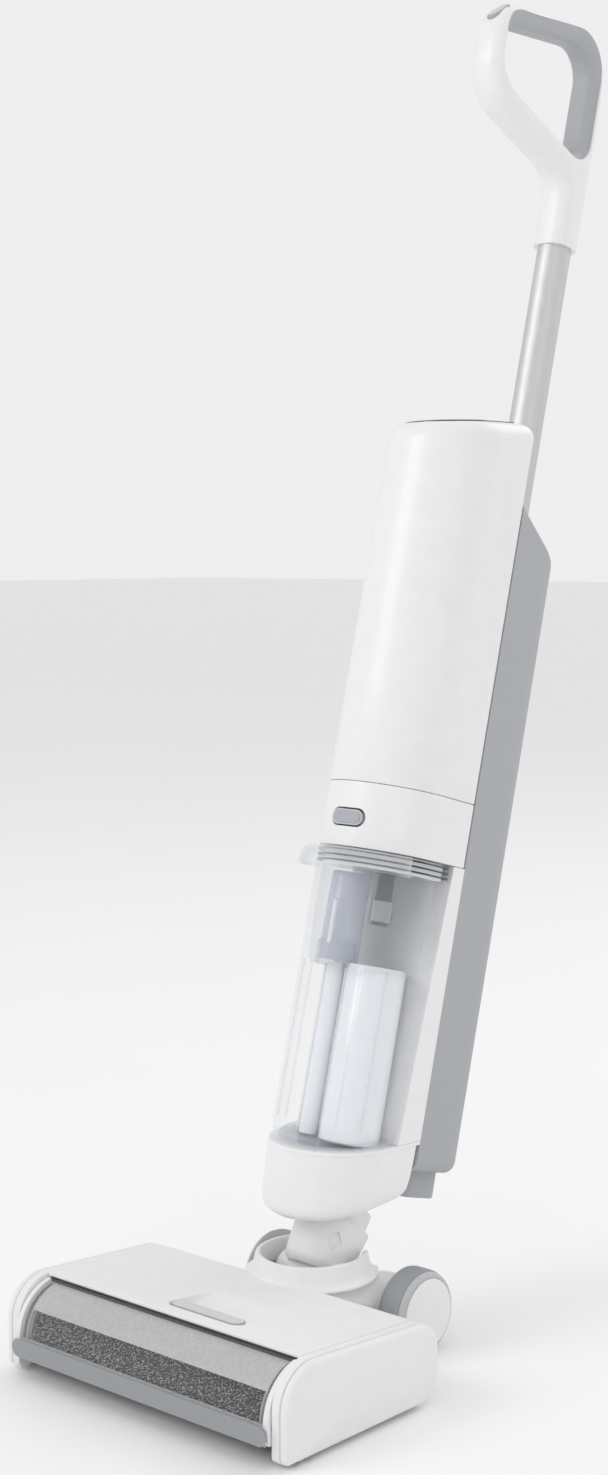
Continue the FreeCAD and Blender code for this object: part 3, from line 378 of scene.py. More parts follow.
def turned(name: str, profile: Sequence[Sequence[float]], centre: Sequence[float], axis: int,
           place: Place, steps: int = 72) -> bpy.types.Object:
    """Turns a closed profile round an axis, as on a lathe.

    Args:
        name: The piece's name.
        profile: Pairs of radius and place along the axis, round the section.
        centre: A point on the axis.
        axis: 0, 1 or 2 for the axis along X, Y or Z of the drawing frame.
        place: The drawing frame.
        steps: Parts in a full turn.

    Returns:
        The object.
    """
    first, second = [i for i in range(3) if i != axis]
    rings = []
    for turn in np.arange(steps) * 2 * math.pi / steps:
        ring = np.tile(np.array(centre, dtype=float), (len(profile), 1))
        for row, (radius, along) in zip(ring, profile):
            row[first] += radius * math.cos(turn)
            row[second] += radius * math.sin(turn)
            row[axis] = along
        rings.append(ring)
    return loft(name, rings, place, looped=True)


def bake(piece: bpy.types.Object) -> bpy.types.Object:
    """Turns a piece's modifiers into plain mesh and removes them."""
    graph = bpy.context.evaluated_depsgraph_get()
    made = bpy.data.meshes.new_from_object(piece.evaluated_get(graph), preserve_all_data_layers=True,
                                           depsgraph=graph)
    old = piece.data
    piece.modifiers.clear()
    piece.data = made
    made.name = piece.name
    bpy.data.meshes.remove(old)
    return piece


def cut(piece: bpy.types.Object, *tools: bpy.types.Object) -> bpy.types.Object:
    """Cuts tools out of a piece and removes the tools."""
    for tool in tools:
        knife = piece.modifiers.new("cut", "BOOLEAN")
        knife.operation, knife.solver, knife.object = "DIFFERENCE", "EXACT", tool
    bake(piece)
    for tool in tools:
        bpy.data.objects.remove(tool)
    return shade(piece)


def soften(piece: bpy.types.Object, width: float, segments: int = 3, angle: float = 40.0) -> bpy.types.Object:
    """Rounds a piece's sharp edges.

    Args:
        piece: The piece.
        width: How far the rounding reaches, in millimetres.
        segments: Parts across it.
        angle: Angle in degrees above which an edge is rounded.

    Returns:
        The same piece.
    """
    bevel = piece.modifiers.new("round", "BEVEL")
    bevel.width, bevel.segments = width * MM, segments
    bevel.limit_method, bevel.angle_limit = "ANGLE", math.radians(angle)
    bake(piece)
    shade(piece, 40.0)
    weigh = piece.modifiers.new("even", "WEIGHTED_NORMAL")
    weigh.keep_sharp = True
    return bake(piece)


# ---------------------------------------------------------------- finishes
def tint(color: Color, factor: float) -> tuple[float, float, float, float]:
    """A colour made lighter or darker, with full opacity."""
    return tuple(min(channel * factor, 1.0) for channel in color) + (1.0,)


@dataclass(frozen=True)
class Finish:
    """A moulded or painted surface: nearly even colour, a fine grain and slight mottling.

    Attributes:
        name: The finish's name.
        color: Its linear colour.
        roughness: Its middle roughness.
        mottle: How far the colour swings either way.
        mottle_scale: Patches in a metre.
        grain_scale: Grains in a metre.
        grain: Strength of the grain's relief.
        metallic: 1 for bare metal.
        coat: Weight of a clear top coat.
        opacity: 1 for solid, less for clear plastic.
        sheen: Weight of a soft sheen.
        stretch: Scale of the pattern along X, Y and Z.
        rim_opacity: Opacity of clear plastic seen edge on.
    """

    name: str
    color: Color
    roughness: float = 0.4
    mottle: float = 0.015
    mottle_scale: float = 60.0
    grain_scale: float = 2600.0
    grain: float = 0.05
    metallic: float = 0.0
    coat: float = 0.0
    opacity: float = 1.0
    sheen: float = 0.0
    stretch: tuple[float, float, float] = (1.0, 1.0, 1.0)
    rim_opacity: float = 0.0

    def material(self) -> bpy.types.Material:
        """The finish as a material, made once."""
        known = bpy.data.materials.get(self.name)
        return known if known else self.build()

    def build(self) -> bpy.types.Material:
        """Makes the material's nodes.

        Returns:
            The new material.
        """
        material = bpy.data.materials.new(self.name)
        material.use_nodes = True
        material.diffuse_color = tint(self.color, 1.0)
        tree = material.node_tree
        shader = tree.nodes["Principled BSDF"]
        shader.inputs["Metallic"].default_value = self.metallic
        shader.inputs["Coat Weight"].default_value = self.coat
        shader.inputs["Coat Roughness"].default_value = 0.12
        shader.inputs["Sheen Weight"].default_value = self.sheen
        shader.inputs["Alpha"].default_value = self.opacity
        pattern = self.place_pattern(tree)
        self.color_nodes(tree, pattern, shader)
        self.surface_nodes(tree, pattern, shader)
        if self.rim_opacity:
            self.rim_nodes(tree, shader)
        return material

    def rim_nodes(self, tree: bpy.types.NodeTree, shader: bpy.types.Node) -> None:
        """Makes clear plastic denser where it is seen edge on."""
        facing = tree.nodes.new("ShaderNodeLayerWeight")
        facing.inputs["Blend"].default_value = 0.35
        spread = tree.nodes.new("ShaderNodeMapRange")
        spread.inputs["From Min"].default_value = 0.15
        spread.inputs["To Min"].default_value = self.opacity
        spread.inputs["To Max"].default_value = self.rim_opacity
        tree.links.new(facing.outputs["Facing"], spread.inputs["Value"])
        tree.links.new(spread.outputs["Result"], shader.inputs["Alpha"])

    def place_pattern(self, tree: bpy.types.NodeTree) -> bpy.types.NodeSocket:
        """Adds the coordinates that the patterns read and returns their socket."""
        spot = tree.nodes.new("ShaderNodeTexCoord")
        mapping = tree.nodes.new("ShaderNodeMapping")
        mapping.inputs["Scale"].default_value = self.stretch
        tree.links.new(spot.outputs["Object"], mapping.inputs["Vector"])
        return mapping.outputs["Vector"]

    def noise(self, tree: bpy.types.NodeTree, pattern: bpy.types.NodeSocket, scale: float,
              detail: float = 3.0) -> bpy.types.NodeSocket:
        """Adds a noise of so many patches in a metre and returns its value."""
        noise = tree.nodes.new("ShaderNodeTexNoise")
        noise.inputs["Scale"].default_value = scale
        noise.inputs["Detail"].default_value = detail
        tree.links.new(pattern, noise.inputs["Vector"])
        return noise.outputs["Fac"]

    def color_nodes(self, tree: bpy.types.NodeTree, pattern: bpy.types.NodeSocket,
                    shader: bpy.types.Node) -> None:
        """Drives the colour between a darker and a lighter tone."""
        ramp = tree.nodes.new("ShaderNodeValToRGB")
        ramp.color_ramp.elements[0].position, ramp.color_ramp.elements[1].position = 0.3, 0.7
        ramp.color_ramp.elements[0].color = tint(self.color, 1 - self.mottle)
        ramp.color_ramp.elements[1].color = tint(self.color, 1 + self.mottle)
        tree.links.new(self.noise(tree, pattern, self.mottle_scale), ramp.inputs["Fac"])
        tree.links.new(ramp.outputs["Color"], shader.inputs["Base Color"])

    def surface_nodes(self, tree: bpy.types.NodeTree, pattern: bpy.types.NodeSocket,
                      shader: bpy.types.Node) -> None:
        """Drives the roughness and the relief of the grain."""
        spread = tree.nodes.new("ShaderNodeMapRange")
        spread.inputs["To Min"].default_value = self.roughness * 0.88
        spread.inputs["To Max"].default_value = min(self.roughness * 1.12, 1.0)
        tree.links.new(self.noise(tree, pattern, self.mottle_scale * 2), spread.inputs["Value"])
        tree.links.new(spread.outputs["Result"], shader.inputs["Roughness"])
        relief = tree.nodes.new("ShaderNodeBump")
        relief.inputs["Strength"].default_value = self.grain
        relief.inputs["Distance"].default_value = 0.0004
        tree.links.new(self.noise(tree, pattern, self.grain_scale, 2.0), relief.inputs["Height"])
        tree.links.new(relief.outputs["Normal"], shader.inputs["Normal"])


@dataclass(frozen=True)
class Pile(Finish):
    """A short microfibre pile whose tufts carry their own shade."""

    dark: Color = (0.1, 0.1, 0.11)

    def color_nodes(self, tree: bpy.types.NodeTree, pattern: bpy.types.NodeSocket,
                    shader: bpy.types.Node) -> None:
        """Mixes dark and light fibres by the tuft's shade and a fine speckle."""
        shade_of = tree.nodes.new("ShaderNodeAttribute")
        shade_of.attribute_name = "tuft_shade"
        blend = tree.nodes.new("ShaderNodeMath")
        blend.operation = "MULTIPLY_ADD"
        blend.inputs[1].default_value = 0.62
        tree.links.new(shade_of.outputs["Fac"], blend.inputs[0])
        half = tree.nodes.new("ShaderNodeMath")
        half.operation = "MULTIPLY"
        half.inputs[1].default_value = 0.38
        tree.links.new(self.noise(tree, pattern, self.mottle_scale), half.inputs[0])
        tree.links.new(half.outputs["Value"], blend.inputs[2])
        ramp = tree.nodes.new("ShaderNodeValToRGB")
        ramp.color_ramp.elements[0].position, ramp.color_ramp.elements[1].position = 0.32, 0.6
        ramp.color_ramp.elements[0].color = tint(self.dark, 1.0)
        ramp.color_ramp.elements[1].color = tint(self.color, 1.0)
        tree.links.new(blend.outputs["Value"], ramp.inputs["Fac"])
        tree.links.new(ramp.outputs["Color"], shader.inputs["Base Color"])


WHITE = Finish("white_satin", (0.86, 0.86, 0.865), roughness=0.36, coat=0.15, grain=0.02)
HEAD_WHITE = Finish("white_head", (0.83, 0.83, 0.835), roughness=0.5, grain=0.05)
GREY_SHELL = Finish("grey_shell", (0.43, 0.435, 0.445), roughness=0.5, grain=0.08)
GREY = Finish("grey_plastic", (0.36, 0.37, 0.385), roughness=0.42)
LIGHT_GREY = Finish("light_grey", (0.52, 0.53, 0.545), roughness=0.38)
LATCH_GREY = Finish("latch_grey", (0.62, 0.625, 0.635), roughness=0.4)
STRIP_GREY = Finish("strip_rubber", (0.32, 0.33, 0.345), roughness=0.6, grain=0.1)
TYRE_GREY = Finish("tyre_grey", (0.31, 0.32, 0.335), roughness=0.55, grain=0.12)
TYRE_RIM = Finish("tyre_rim", (0.5, 0.51, 0.525), roughness=0.5, grain=0.06)
GRIP_GREY = Finish("grip_liner", (0.42, 0.43, 0.455), roughness=0.45, grain=0.16, grain_scale=1800.0)
SEAL = Finish("seal_rubber", (0.02, 0.02, 0.022), roughness=0.5, grain=0.15)
GLASS_BLACK = Finish("display_black", (0.012, 0.012, 0.014), roughness=0.08, coat=0.6, grain=0.0)
CLEAR = Finish("clear_tank", (0.84, 0.87, 0.92), roughness=0.06, opacity=0.035, grain=0.0, coat=0.8,
               rim_opacity=0.45)
CLEAR_WINDOW = Finish("clear_window", (0.7, 0.71, 0.72), roughness=0.05, opacity=0.05, grain=0.0, coat=0.7,
                      rim_opacity=0.3)
CLEAR_EDGE = Finish("clear_thick", (0.55, 0.59, 0.66), roughness=0.1, opacity=0.1, grain=0.0, coat=0.7,
                    rim_opacity=0.6)
CLEAR_LIP = Finish("clear_lip", (0.84, 0.86, 0.88), roughness=0.08, opacity=0.12, grain=0.0, coat=0.8,
                   rim_opacity=0.6)
BLUE_CLEAR = Finish("bluish_clear", (0.62, 0.655, 0.75), roughness=0.2, opacity=0.75, grain=0.03, coat=0.4)
COLUMN_WHITE = Finish("column_plastic", (0.84, 0.86, 0.9), roughness=0.22, grain=0.02, coat=0.5)
CLEAR_CUP = Finish("clear_cup", (0.74, 0.77, 0.83), roughness=0.12, opacity=0.13, grain=0.0, coat=0.5,
                   rim_opacity=0.4)
FROSTED = Finish("frosted_clear", (0.8, 0.82, 0.86), roughness=0.3, opacity=0.34, grain=0.08,
                 grain_scale=900.0, coat=0.2)
FROSTED_BAND = Finish("frosted_band", (0.62, 0.62, 0.625), roughness=0.3, mottle=0.1,
                      mottle_scale=420.0, opacity=0.76, grain=0.3, grain_scale=500.0,
                      stretch=(1.0, 0.6, 0.6))
ALUMINIUM = Finish("satin_aluminium", (0.66, 0.66, 0.665), roughness=0.52, metallic=1.0, mottle=0.04,
                   mottle_scale=300.0, grain_scale=1500.0, grain=0.05, stretch=(1.0, 1.0, 0.04))
STEEL = Finish("plain_steel", (0.5, 0.5, 0.5), roughness=0.35, metallic=1.0, mottle=0.05)
MOTOR_CAN = Finish("zinc_plate", (0.45, 0.45, 0.44), roughness=0.42, metallic=0.9, mottle=0.08)
MOTOR_BODY = Finish("motor_body", (0.1, 0.1, 0.11), roughness=0.5, grain=0.2)
BATTERY = Finish("battery_sleeve", (0.05, 0.1, 0.18), roughness=0.35, grain=0.1)
BOARD = Finish("board_green", (0.02, 0.14, 0.06), roughness=0.4, mottle=0.2, mottle_scale=400.0)
FILTER = Finish("filter_paper", (0.8, 0.79, 0.75), roughness=0.9, mottle=0.06, mottle_scale=500.0,
                grain=0.5, stretch=(1.0, 1.0, 0.05))
PILE = Pile("microfibre_pile", (0.8, 0.8, 0.81), roughness=0.9, mottle_scale=700.0, grain=0.6,
            grain_scale=1400.0, sheen=0.15, dark=(0.012, 0.012, 0.014))
FLOOR = Finish("pale_floor", (0.95, 0.95, 0.95), roughness=0.55, mottle=0.004, mottle_scale=3.0, grain=0.0)

CAD_FINISH = {
    "white_shell": WHITE, "grey_shell": GREY_SHELL, "grey_plastic": GREY, "clear_plastic": CLEAR,
    "display_glass": GLASS_BLACK, "steel": STEEL, "pole_aluminium": ALUMINIUM, "motor_can": MOTOR_CAN,
    "motor_body": MOTOR_BODY, "battery_wrap": BATTERY, "board_green": BOARD, "filter_pleats": FILTER,
    "microfibre": PILE, "black_rubber": SEAL, "grey_rubber": STRIP_GREY, "grip_rubber": GRIP_GREY,
    "grey_tyre": TYRE_GREY, "core_aluminium": ALUMINIUM, "sole_plate": GREY,
}


def dress(piece: bpy.types.Object, finish: Finish, body: str, slot: str, *nodes: str) -> bpy.types.Object:
    """Gives a piece its finish and its body, and hides the frame nodes that it stands for.

    Args:
        piece: The piece, in place.
        finish: Its finish.
        body: The moving body that carries it.
        slot: The record's material slot; not used.
        *nodes: Nodes of the frame that it stands for.

    Returns:
        The same piece.
    """
    piece.data.materials.clear()
    piece.data.materials.append(finish.material())
    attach(piece, body)
    if nodes:
        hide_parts(*nodes)
    LOG.info("%s on %s, %d faces", piece.name, body, len(piece.data.polygons))
    return piece


# ---------------------------------------------------------------- geometry nodes
class Repeat:
    """A Geometry Nodes tree under construction, with named inputs."""

    def __init__(self, name: str, inputs: dict[str, tuple[str, float]], finish: Finish) -> None:
        """Starts a tree.

        Args:
            name: The tree's name.
            inputs: Each input's name with its socket kind and value.
            finish: The finish that Set Material gives.
        """
        self.tree = bpy.data.node_groups.new(name, "GeometryNodeTree")
        face = self.tree.interface
        face.new_socket("Geometry", in_out="INPUT", socket_type="NodeSocketGeometry")
        face.new_socket("Geometry", in_out="OUTPUT", socket_type="NodeSocketGeometry")
        self.values = {}
        for label, (kind, value) in inputs.items():
            socket = face.new_socket(label, in_out="INPUT", socket_type=f"NodeSocket{kind}")
            socket.default_value = value
            self.values[socket.identifier] = value
        self.source = self.tree.nodes.new("NodeGroupInput")
        self.finish = finish

    def node(self, kind: str, links: Optional[dict[str, bpy.types.NodeSocket]] = None,
             values: Optional[dict[str, object]] = None, **settings: object) -> bpy.types.Node:
        """Adds a node.

        Args:
            kind: Its type, without the leading word Node.
            links: Sockets that feed its inputs, by input name.
            values: Constant inputs, by input name.
            **settings: Its own properties.

        Returns:
            The node.
        """
        node = self.tree.nodes.new(kind)
        for name, value in settings.items():
            setattr(node, name, value)
        for name, value in (values or {}).items():
            node.inputs[name].default_value = value
        for name, socket in (links or {}).items():
            self.tree.links.new(socket, node.inputs[name])
        return node

    def end(self, geometry: bpy.types.NodeSocket) -> None:
        """Closes the tree with Realize Instances and Set Material."""
        real = self.node("GeometryNodeRealizeInstances", {"Geometry": geometry})
        paint = self.node("GeometryNodeSetMaterial", {"Geometry": real.outputs["Geometry"]},
                          {"Material": self.finish.material()})
        out = self.tree.nodes.new("NodeGroupOutput")
        self.tree.links.new(paint.outputs["Geometry"], out.inputs[0])

    def apply(self, piece: bpy.types.Object) -> bpy.types.Object:
        """Runs the tree on a piece and bakes the result.

        Args:
            piece: The object that the tree starts from.

        Returns:
            The same object with plain mesh.
        """
        modifier = piece.modifiers.new(self.tree.name, "NODES")
        modifier.node_group = self.tree
        for identifier, value in self.values.items():
            modifier[identifier] = value
        return bake(piece)


def marks(name: str, points: Sequence, place: Place, edges: Sequence = ()) -> bpy.types.Object:
    """An object of bare points, joined by edges if given, that a tree starts from."""
    mesh = bpy.data.meshes.new(name)
    mesh.from_pydata(place.to_row(points).tolist(), list(edges), [])
    piece = bpy.data.objects.new(name, mesh)
    bpy.context.scene.collection.objects.link(piece)
    return piece


def pile_tree() -> Repeat:
    """The tree that grows short tufts over the roller."""
    grow = Repeat("microfibre_tufts", {"Density": ("Float", 620000.0), "Tuft length": ("Float", 1.6 * MM),
                                       "Tuft radius": ("Float", 0.5 * MM), "Seed": ("Int", 7)}, PILE)
    ports = grow.source.outputs
    spread = grow.node("GeometryNodeDistributePointsOnFaces",
                       {"Mesh": ports["Geometry"], "Density": ports["Density"], "Seed": ports["Seed"]})
    tuft = grow.node("GeometryNodeMeshCone", {"Radius Bottom": ports["Tuft radius"],
                                              "Depth": ports["Tuft length"]},
                     {"Vertices": 3, "Radius Top": 0.0}, fill_type="NONE")
    lean = grow.node("FunctionNodeRandomValue", {"Seed": ports["Seed"]}, data_type="FLOAT_VECTOR")
    lean.inputs[0].default_value, lean.inputs[1].default_value = (-0.45, -0.45, 0.0), (0.45, 0.45, 6.28)
    turn = grow.node("FunctionNodeRotateEuler", {"Rotation": spread.outputs["Rotation"],
                                                 "Rotate By": lean.outputs[0]}, space="LOCAL")
    size = grow.node("FunctionNodeRandomValue", {"Seed": ports["Seed"]}, data_type="FLOAT")
    size.inputs[2].default_value, size.inputs[3].default_value = 0.6, 1.0
    plant = grow.node("GeometryNodeInstanceOnPoints", {
        "Points": spread.outputs["Points"], "Instance": tuft.outputs["Mesh"],
        "Rotation": turn.outputs[0], "Scale": size.outputs[1]})
    shade_of = grow.node("FunctionNodeRandomValue", {"Seed": ports["Seed"]}, data_type="FLOAT")
    keep = grow.node("GeometryNodeStoreNamedAttribute", {"Geometry": plant.outputs["Instances"],
                                                         "Value": shade_of.outputs[1]},
                     {"Name": "tuft_shade"}, data_type="FLOAT", domain="INSTANCE")
    real = grow.node("GeometryNodeRealizeInstances", {"Geometry": keep.outputs["Geometry"]})
    joined = grow.node("GeometryNodeJoinGeometry")
    grow.tree.links.new(ports["Geometry"], joined.inputs[0])
    grow.tree.links.new(real.outputs["Geometry"], joined.inputs[0])
    grow.end(joined.outputs["Geometry"])
    return grow


def cord_tree(name: str, radius: float, finish: Finish, sides: int = 8) -> Repeat:
    """The tree that lays a round bead of a radius in millimetres along every edge line."""
    lay = Repeat(name, {"Bead radius": ("Float", radius * MM), "Sides": ("Int", sides)}, finish)
    ports = lay.source.outputs
    line = lay.node("GeometryNodeMeshToCurve", {"Mesh": ports["Geometry"]})
    circle = lay.node("GeometryNodeCurvePrimitiveCircle", {"Radius": ports["Bead radius"],
                                                           "Resolution": ports["Sides"]})
    bead = lay.node("GeometryNodeCurveToMesh", {"Curve": line.outputs["Curve"],
                                                "Profile Curve": circle.outputs["Curve"]},
                    {"Fill Caps": True})
    lay.end(bead.outputs["Mesh"])
    return lay


def screw_tree(name: str, radius: float, height: float, tilt: tuple[float, float, float],
               finish: Finish) -> Repeat:
    """The tree that sets a low screw head with a six-sided recess on every point.

    Args:
        name: The tree's name.
        radius: Radius of the head in millimetres.
        height: Height of the head in millimetres.
        tilt: Turn of each head in radians.
        finish: The screws' finish.

    Returns:
        The tree.
    """
    put = Repeat(name, {"Head radius": ("Float", radius * MM), "Head height": ("Float", height * MM)},
                 finish)
    ports = put.source.outputs
    head = put.node("GeometryNodeMeshCone", {"Radius Bottom": ports["Head radius"],
                                             "Depth": ports["Head height"]},
                    {"Vertices": 28, "Radius Top": radius * 0.8 * MM})
    key = put.node("GeometryNodeMeshCylinder", values={"Vertices": 6, "Radius": radius * 0.42 * MM,
                                                       "Depth": height * MM})
    lift = put.node("GeometryNodeTransform", {"Geometry": key.outputs["Mesh"]},
                    {"Translation": (0.0, 0.0, height * 0.95 * MM)})
    socket = put.node("GeometryNodeMeshBoolean", {"Mesh 1": head.outputs["Mesh"],
                                                  "Mesh 2": lift.outputs["Geometry"]})
    place_all = put.node("GeometryNodeInstanceOnPoints", {"Points": ports["Geometry"],
                                                          "Instance": socket.outputs["Mesh"]},
                         {"Rotation": tilt})
    put.end(place_all.outputs["Instances"])
    return put


# ---------------------------------------------------------------- cleaning head
# Depth and height of the roller's axis.
ROLLER_AXIS = (36.0, 30.0)


@dataclass
class CleaningHead:
    """The cleaning head: side panels, top cover with its latch, bridge, socket and inside."""

    panel_inner: float = 130.4
    depth: float = 166.5
    front_height: float = 71.8
    back_height: float = 61.0
    top_fall: float = 0.065
    cover_edge: float = 30.6
    cover_half: float = 130.1
    wall: float = 2.5
    scoop_low: tuple[float, float] = (-17.0, 43.2)
    scoop_high: tuple[float, float] = (60.0, 95.0)
    scoop_depth: float = 7.5
    axle_depth: float = 230.0
    axle_height: float = 33.3
    fairing_radius: float = 24.5
    neck_depth: float = 188.0
    slot_half: float = 31.5

    def build(self) -> None:
        """Builds every piece of the head that doesn't move."""
        self.side_panels()
        self.top_cover()
        self.latch()
        self.bridge()
        self.socket()
        self.sole_screws()

    def side_outline(self, inset: float) -> np.ndarray:
        """The side outline of the head, moved in by an inset."""
        corners = [(0, 3), (0, self.front_height), (self.depth, self.back_height), (self.depth, 20),
                   (self.depth - 14.5, 3)]
        return rounded(corners, [5, 36, 31, 9, 9], inset, 12)

    def side_panels(self) -> None:
        """The two side panels with their arched step, open below for the guide rollers."""
        steps = [(0.0, 0.5), (0.5, 0.0), (6.6, 0.0), (7.0, 0.4), (7.15, 1.5), (8.1, 1.5), (8.25, 0.6),
                 (8.7, 0.2), (10.6, 0.2), (12.0, 0.5), (13.2, 1.3), (14.1, 2.6), (14.6, 4.4)]
        for side, name, nodes in ((-1, "left_panel", ("left_side_frame", "belt_side_cover")),
                                  (1, "right_panel", ("right_side_frame",))):
            rings = [Facing.SIDE.lay(self.side_outline(inset), side * (self.panel_inner + out))
                     for out, inset in steps]
            panel = loft(name, rings, Place.HEAD)
            notch = slab("notch", lambda inset: box_outline((11, -2), (29, 12.5), 3), Facing.SIDE,
                         side * 128.0, side * 140.6, Place.HEAD)
            bore = turned("bore", [(0, side * 129), (9.2, side * 129), (9.2, side * 138.5),
                                   (0, side * 138.5)], (0, *ROLLER_AXIS), 0, Place.HEAD, 40)
            dress(cut(panel, notch, bore), HEAD_WHITE, "head", "white_shell", *nodes)

    def scoop_outline(self, inset: float) -> np.ndarray:
        """The outline of the finger scoop behind the latch."""
        low, high = self.scoop_low, self.scoop_high
        corners = [(low[0], low[1]), (high[0] - 3, low[1]), (high[0], high[1]), (low[0] + 3, high[1])]
        return rounded(corners, [8.2, 8.2, 14, 14], inset, 9)

    def top_cover(self) -> None:
        """The top cover as a bent shell, with the scoop for the finger that slides the latch."""
        corners = [(self.cover_edge, 22), (self.cover_edge, self.front_height - 2.0),
                   (self.depth, self.back_height), (self.depth, 22)]
        outer = rounded(corners, [0.4, 1.2, 31, 0.4], 0.0, 14)[15:-15]
        inner = rounded(corners, [0.4, 1.2, 31, 0.4], self.wall, 14)[15:-15]
        lip = [(self.cover_edge, 61.0)], [(self.cover_edge + self.wall, 61.0)]
        heel = [(self.depth, 22.2)], [(self.depth - self.wall, 22.2)]
        section = np.vstack((lip[0], outer, heel[0], heel[1], inner[::-1], lip[1]))
        rings = [Facing.SIDE.lay(section, across) for across in (-self.cover_half, self.cover_half)]
        cover = loft("top_cover", rings, Place.HEAD, Cap.SINGLE, Cap.SINGLE)
        cover = cut(cover, slab("scoop_knife", self.scoop_outline, Facing.TOP, 50, 80, Place.HEAD))
        dress(cover, HEAD_WHITE, "head", "white_shell", "head_top_cover")
        rings = []
        for inset, share in ((-0.4, 0.02), (0.0, 0.05), (0.8, 0.3), (1.6, 0.62), (2.8, 0.88), (4.2, 1.0)):
            outline = self.scoop_outline(inset)
            rise = np.clip((self.scoop_high[1] - outline[:, 1]) / 36.0, 0.0, 1.0)
            sink = share * (0.9 + (self.scoop_depth - 0.9) * rise)
            rings.append(np.column_stack((outline, 71.72 - self.top_fall * outline[:, 1] - sink)))
        under = [ring - np.array((0, 0, 1.2)) for ring in rings]
        dish = loft("finger_scoop", rings[::-1] + under, Place.HEAD)
        dress(dish, HEAD_WHITE, "head", "white_shell")

    def latch(self) -> None:
        """The sliding latch plate of the roller cover, with its darker edge."""
        outline = lambda inset: box_outline((-15, 45), (55, 59), 6.9, inset, 12)
        base = slab("latch_edge", outline, Facing.TOP, 66.0, 71.9, Place.HEAD, 0, 0.5, self.top_fall)
        dress(base, GREY, "cover_latch", "grey_plastic", "cover_latch")
        plate = slab("latch_plate", lambda inset: outline(inset + 0.9), Facing.TOP, 69.0, 72.5, Place.HEAD,
                     0, 0.7, self.top_fall, 0.25)
        dress(plate, LATCH_GREY, "cover_latch", "grey_plastic")

    def bridge(self) -> None:
        """The bridge behind the cover, narrowing into a round fairing before each wheel."""
        centre, count = (222.0, 34.0), 96
        corners = [(140, 24), (168, 22), (171, 8.2), (245, 8.2), (249.6, 20), (249.6, 40), (239, 55),
                   (222, 61.5), (140, 63.2)]
        block = spokes(rounded(corners, [2, 4, 6, 8, 12, 16, 22, 20, 2], 0, 8), centre, count)
        turns = np.arange(count) * 2 * math.pi / count
        hub = np.column_stack((self.axle_depth + self.fairing_radius * np.cos(turns),
                               self.axle_height + self.fairing_radius * np.sin(turns)))
        fairing = spokes(hub, centre, count)
        rings = []
        for across in np.concatenate((np.linspace(-57.2, -56.6, 3), np.linspace(-55, 55, 67),
                                      np.linspace(56.6, 57.2, 3))):
            share = min(max((abs(across) - 30.0) / 25.0, 0.0), 1.0)
            share = share * share * (3 - 2 * share)
            reach = block + (fairing - block) * share - max(abs(across) - 56.0, 0.0) ** 2
            rings.append(Facing.SIDE.lay(np.column_stack((centre[0] + reach * np.cos(turns),
                                                          centre[1] + reach * np.sin(turns))), across))
        bridge = loft("rear_bridge_shell", rings, Place.HEAD)
        well = slab("well", lambda inset: tower_plan(39.0, 66, 4), Facing.TOP, 26, 70, Place.HEAD)
        well.data.transform(move((0, self.neck_depth, 0)))
        slot = slab("lean_slot", lambda inset: box_outline((-self.slot_half, 186), (self.slot_half, 256), 4),
                    Facing.TOP, 36, 72, Place.HEAD)
        dress(cut(bridge, well, slot), HEAD_WHITE, "head", "white_shell", "rear_bridge")
        floor = slab("well_floor", lambda inset: box_outline((-40, 150), (40, 226), 6, inset), Facing.TOP,
                     24.5, 27, Place.HEAD)
        dress(floor, GREY, "head", "grey_plastic")

    def socket(self) -> None:
        """The cone-shaped collar round the foot of the neck, open behind for the lean."""
        profile = [(39.6, 60.0), (39.6, 75.2), (40.4, 76.4), (42.2, 76.8), (43.6, 76.0), (44.2, 74.6),
                   (46.3, 66.0), (48.6, 62.6), (52.5, 60.9), (52.5, 59.4), (46.0, 58.6)]
        collar = turned("neck_collar", profile, (0, self.neck_depth, 0), 2, Place.HEAD, 96)
        low, high = (-self.slot_half, 190), (self.slot_half, 260)
        back = slab("collar_slot", lambda inset: box_outline(low, high, 5), Facing.TOP, 50, 90, Place.HEAD)
        dress(cut(collar, back), HEAD_WHITE, "head", "white_shell", "neck_socket")

    def sole_screws(self) -> None:
        """The screws that hold the floor plate."""
        spots = [(side * across, depth, 2.9) for side in (-1, 1)
                 for across, depth in ((118, 82), (118, 146), (60, 146))]
        screws = marks("sole_screws", spots, Place.HEAD)
        screw_tree("sole_screw_heads", 3.2, 1.4, (math.pi, 0.0, 0.0), STEEL).apply(screws)
        dress(shade(screws), STEEL, "head", "steel")


def move(offset: Sequence[float]) -> Matrix:
    """The matrix that moves a mesh by an offset in millimetres."""
    return Matrix.Translation(Vector(offset) * MM)


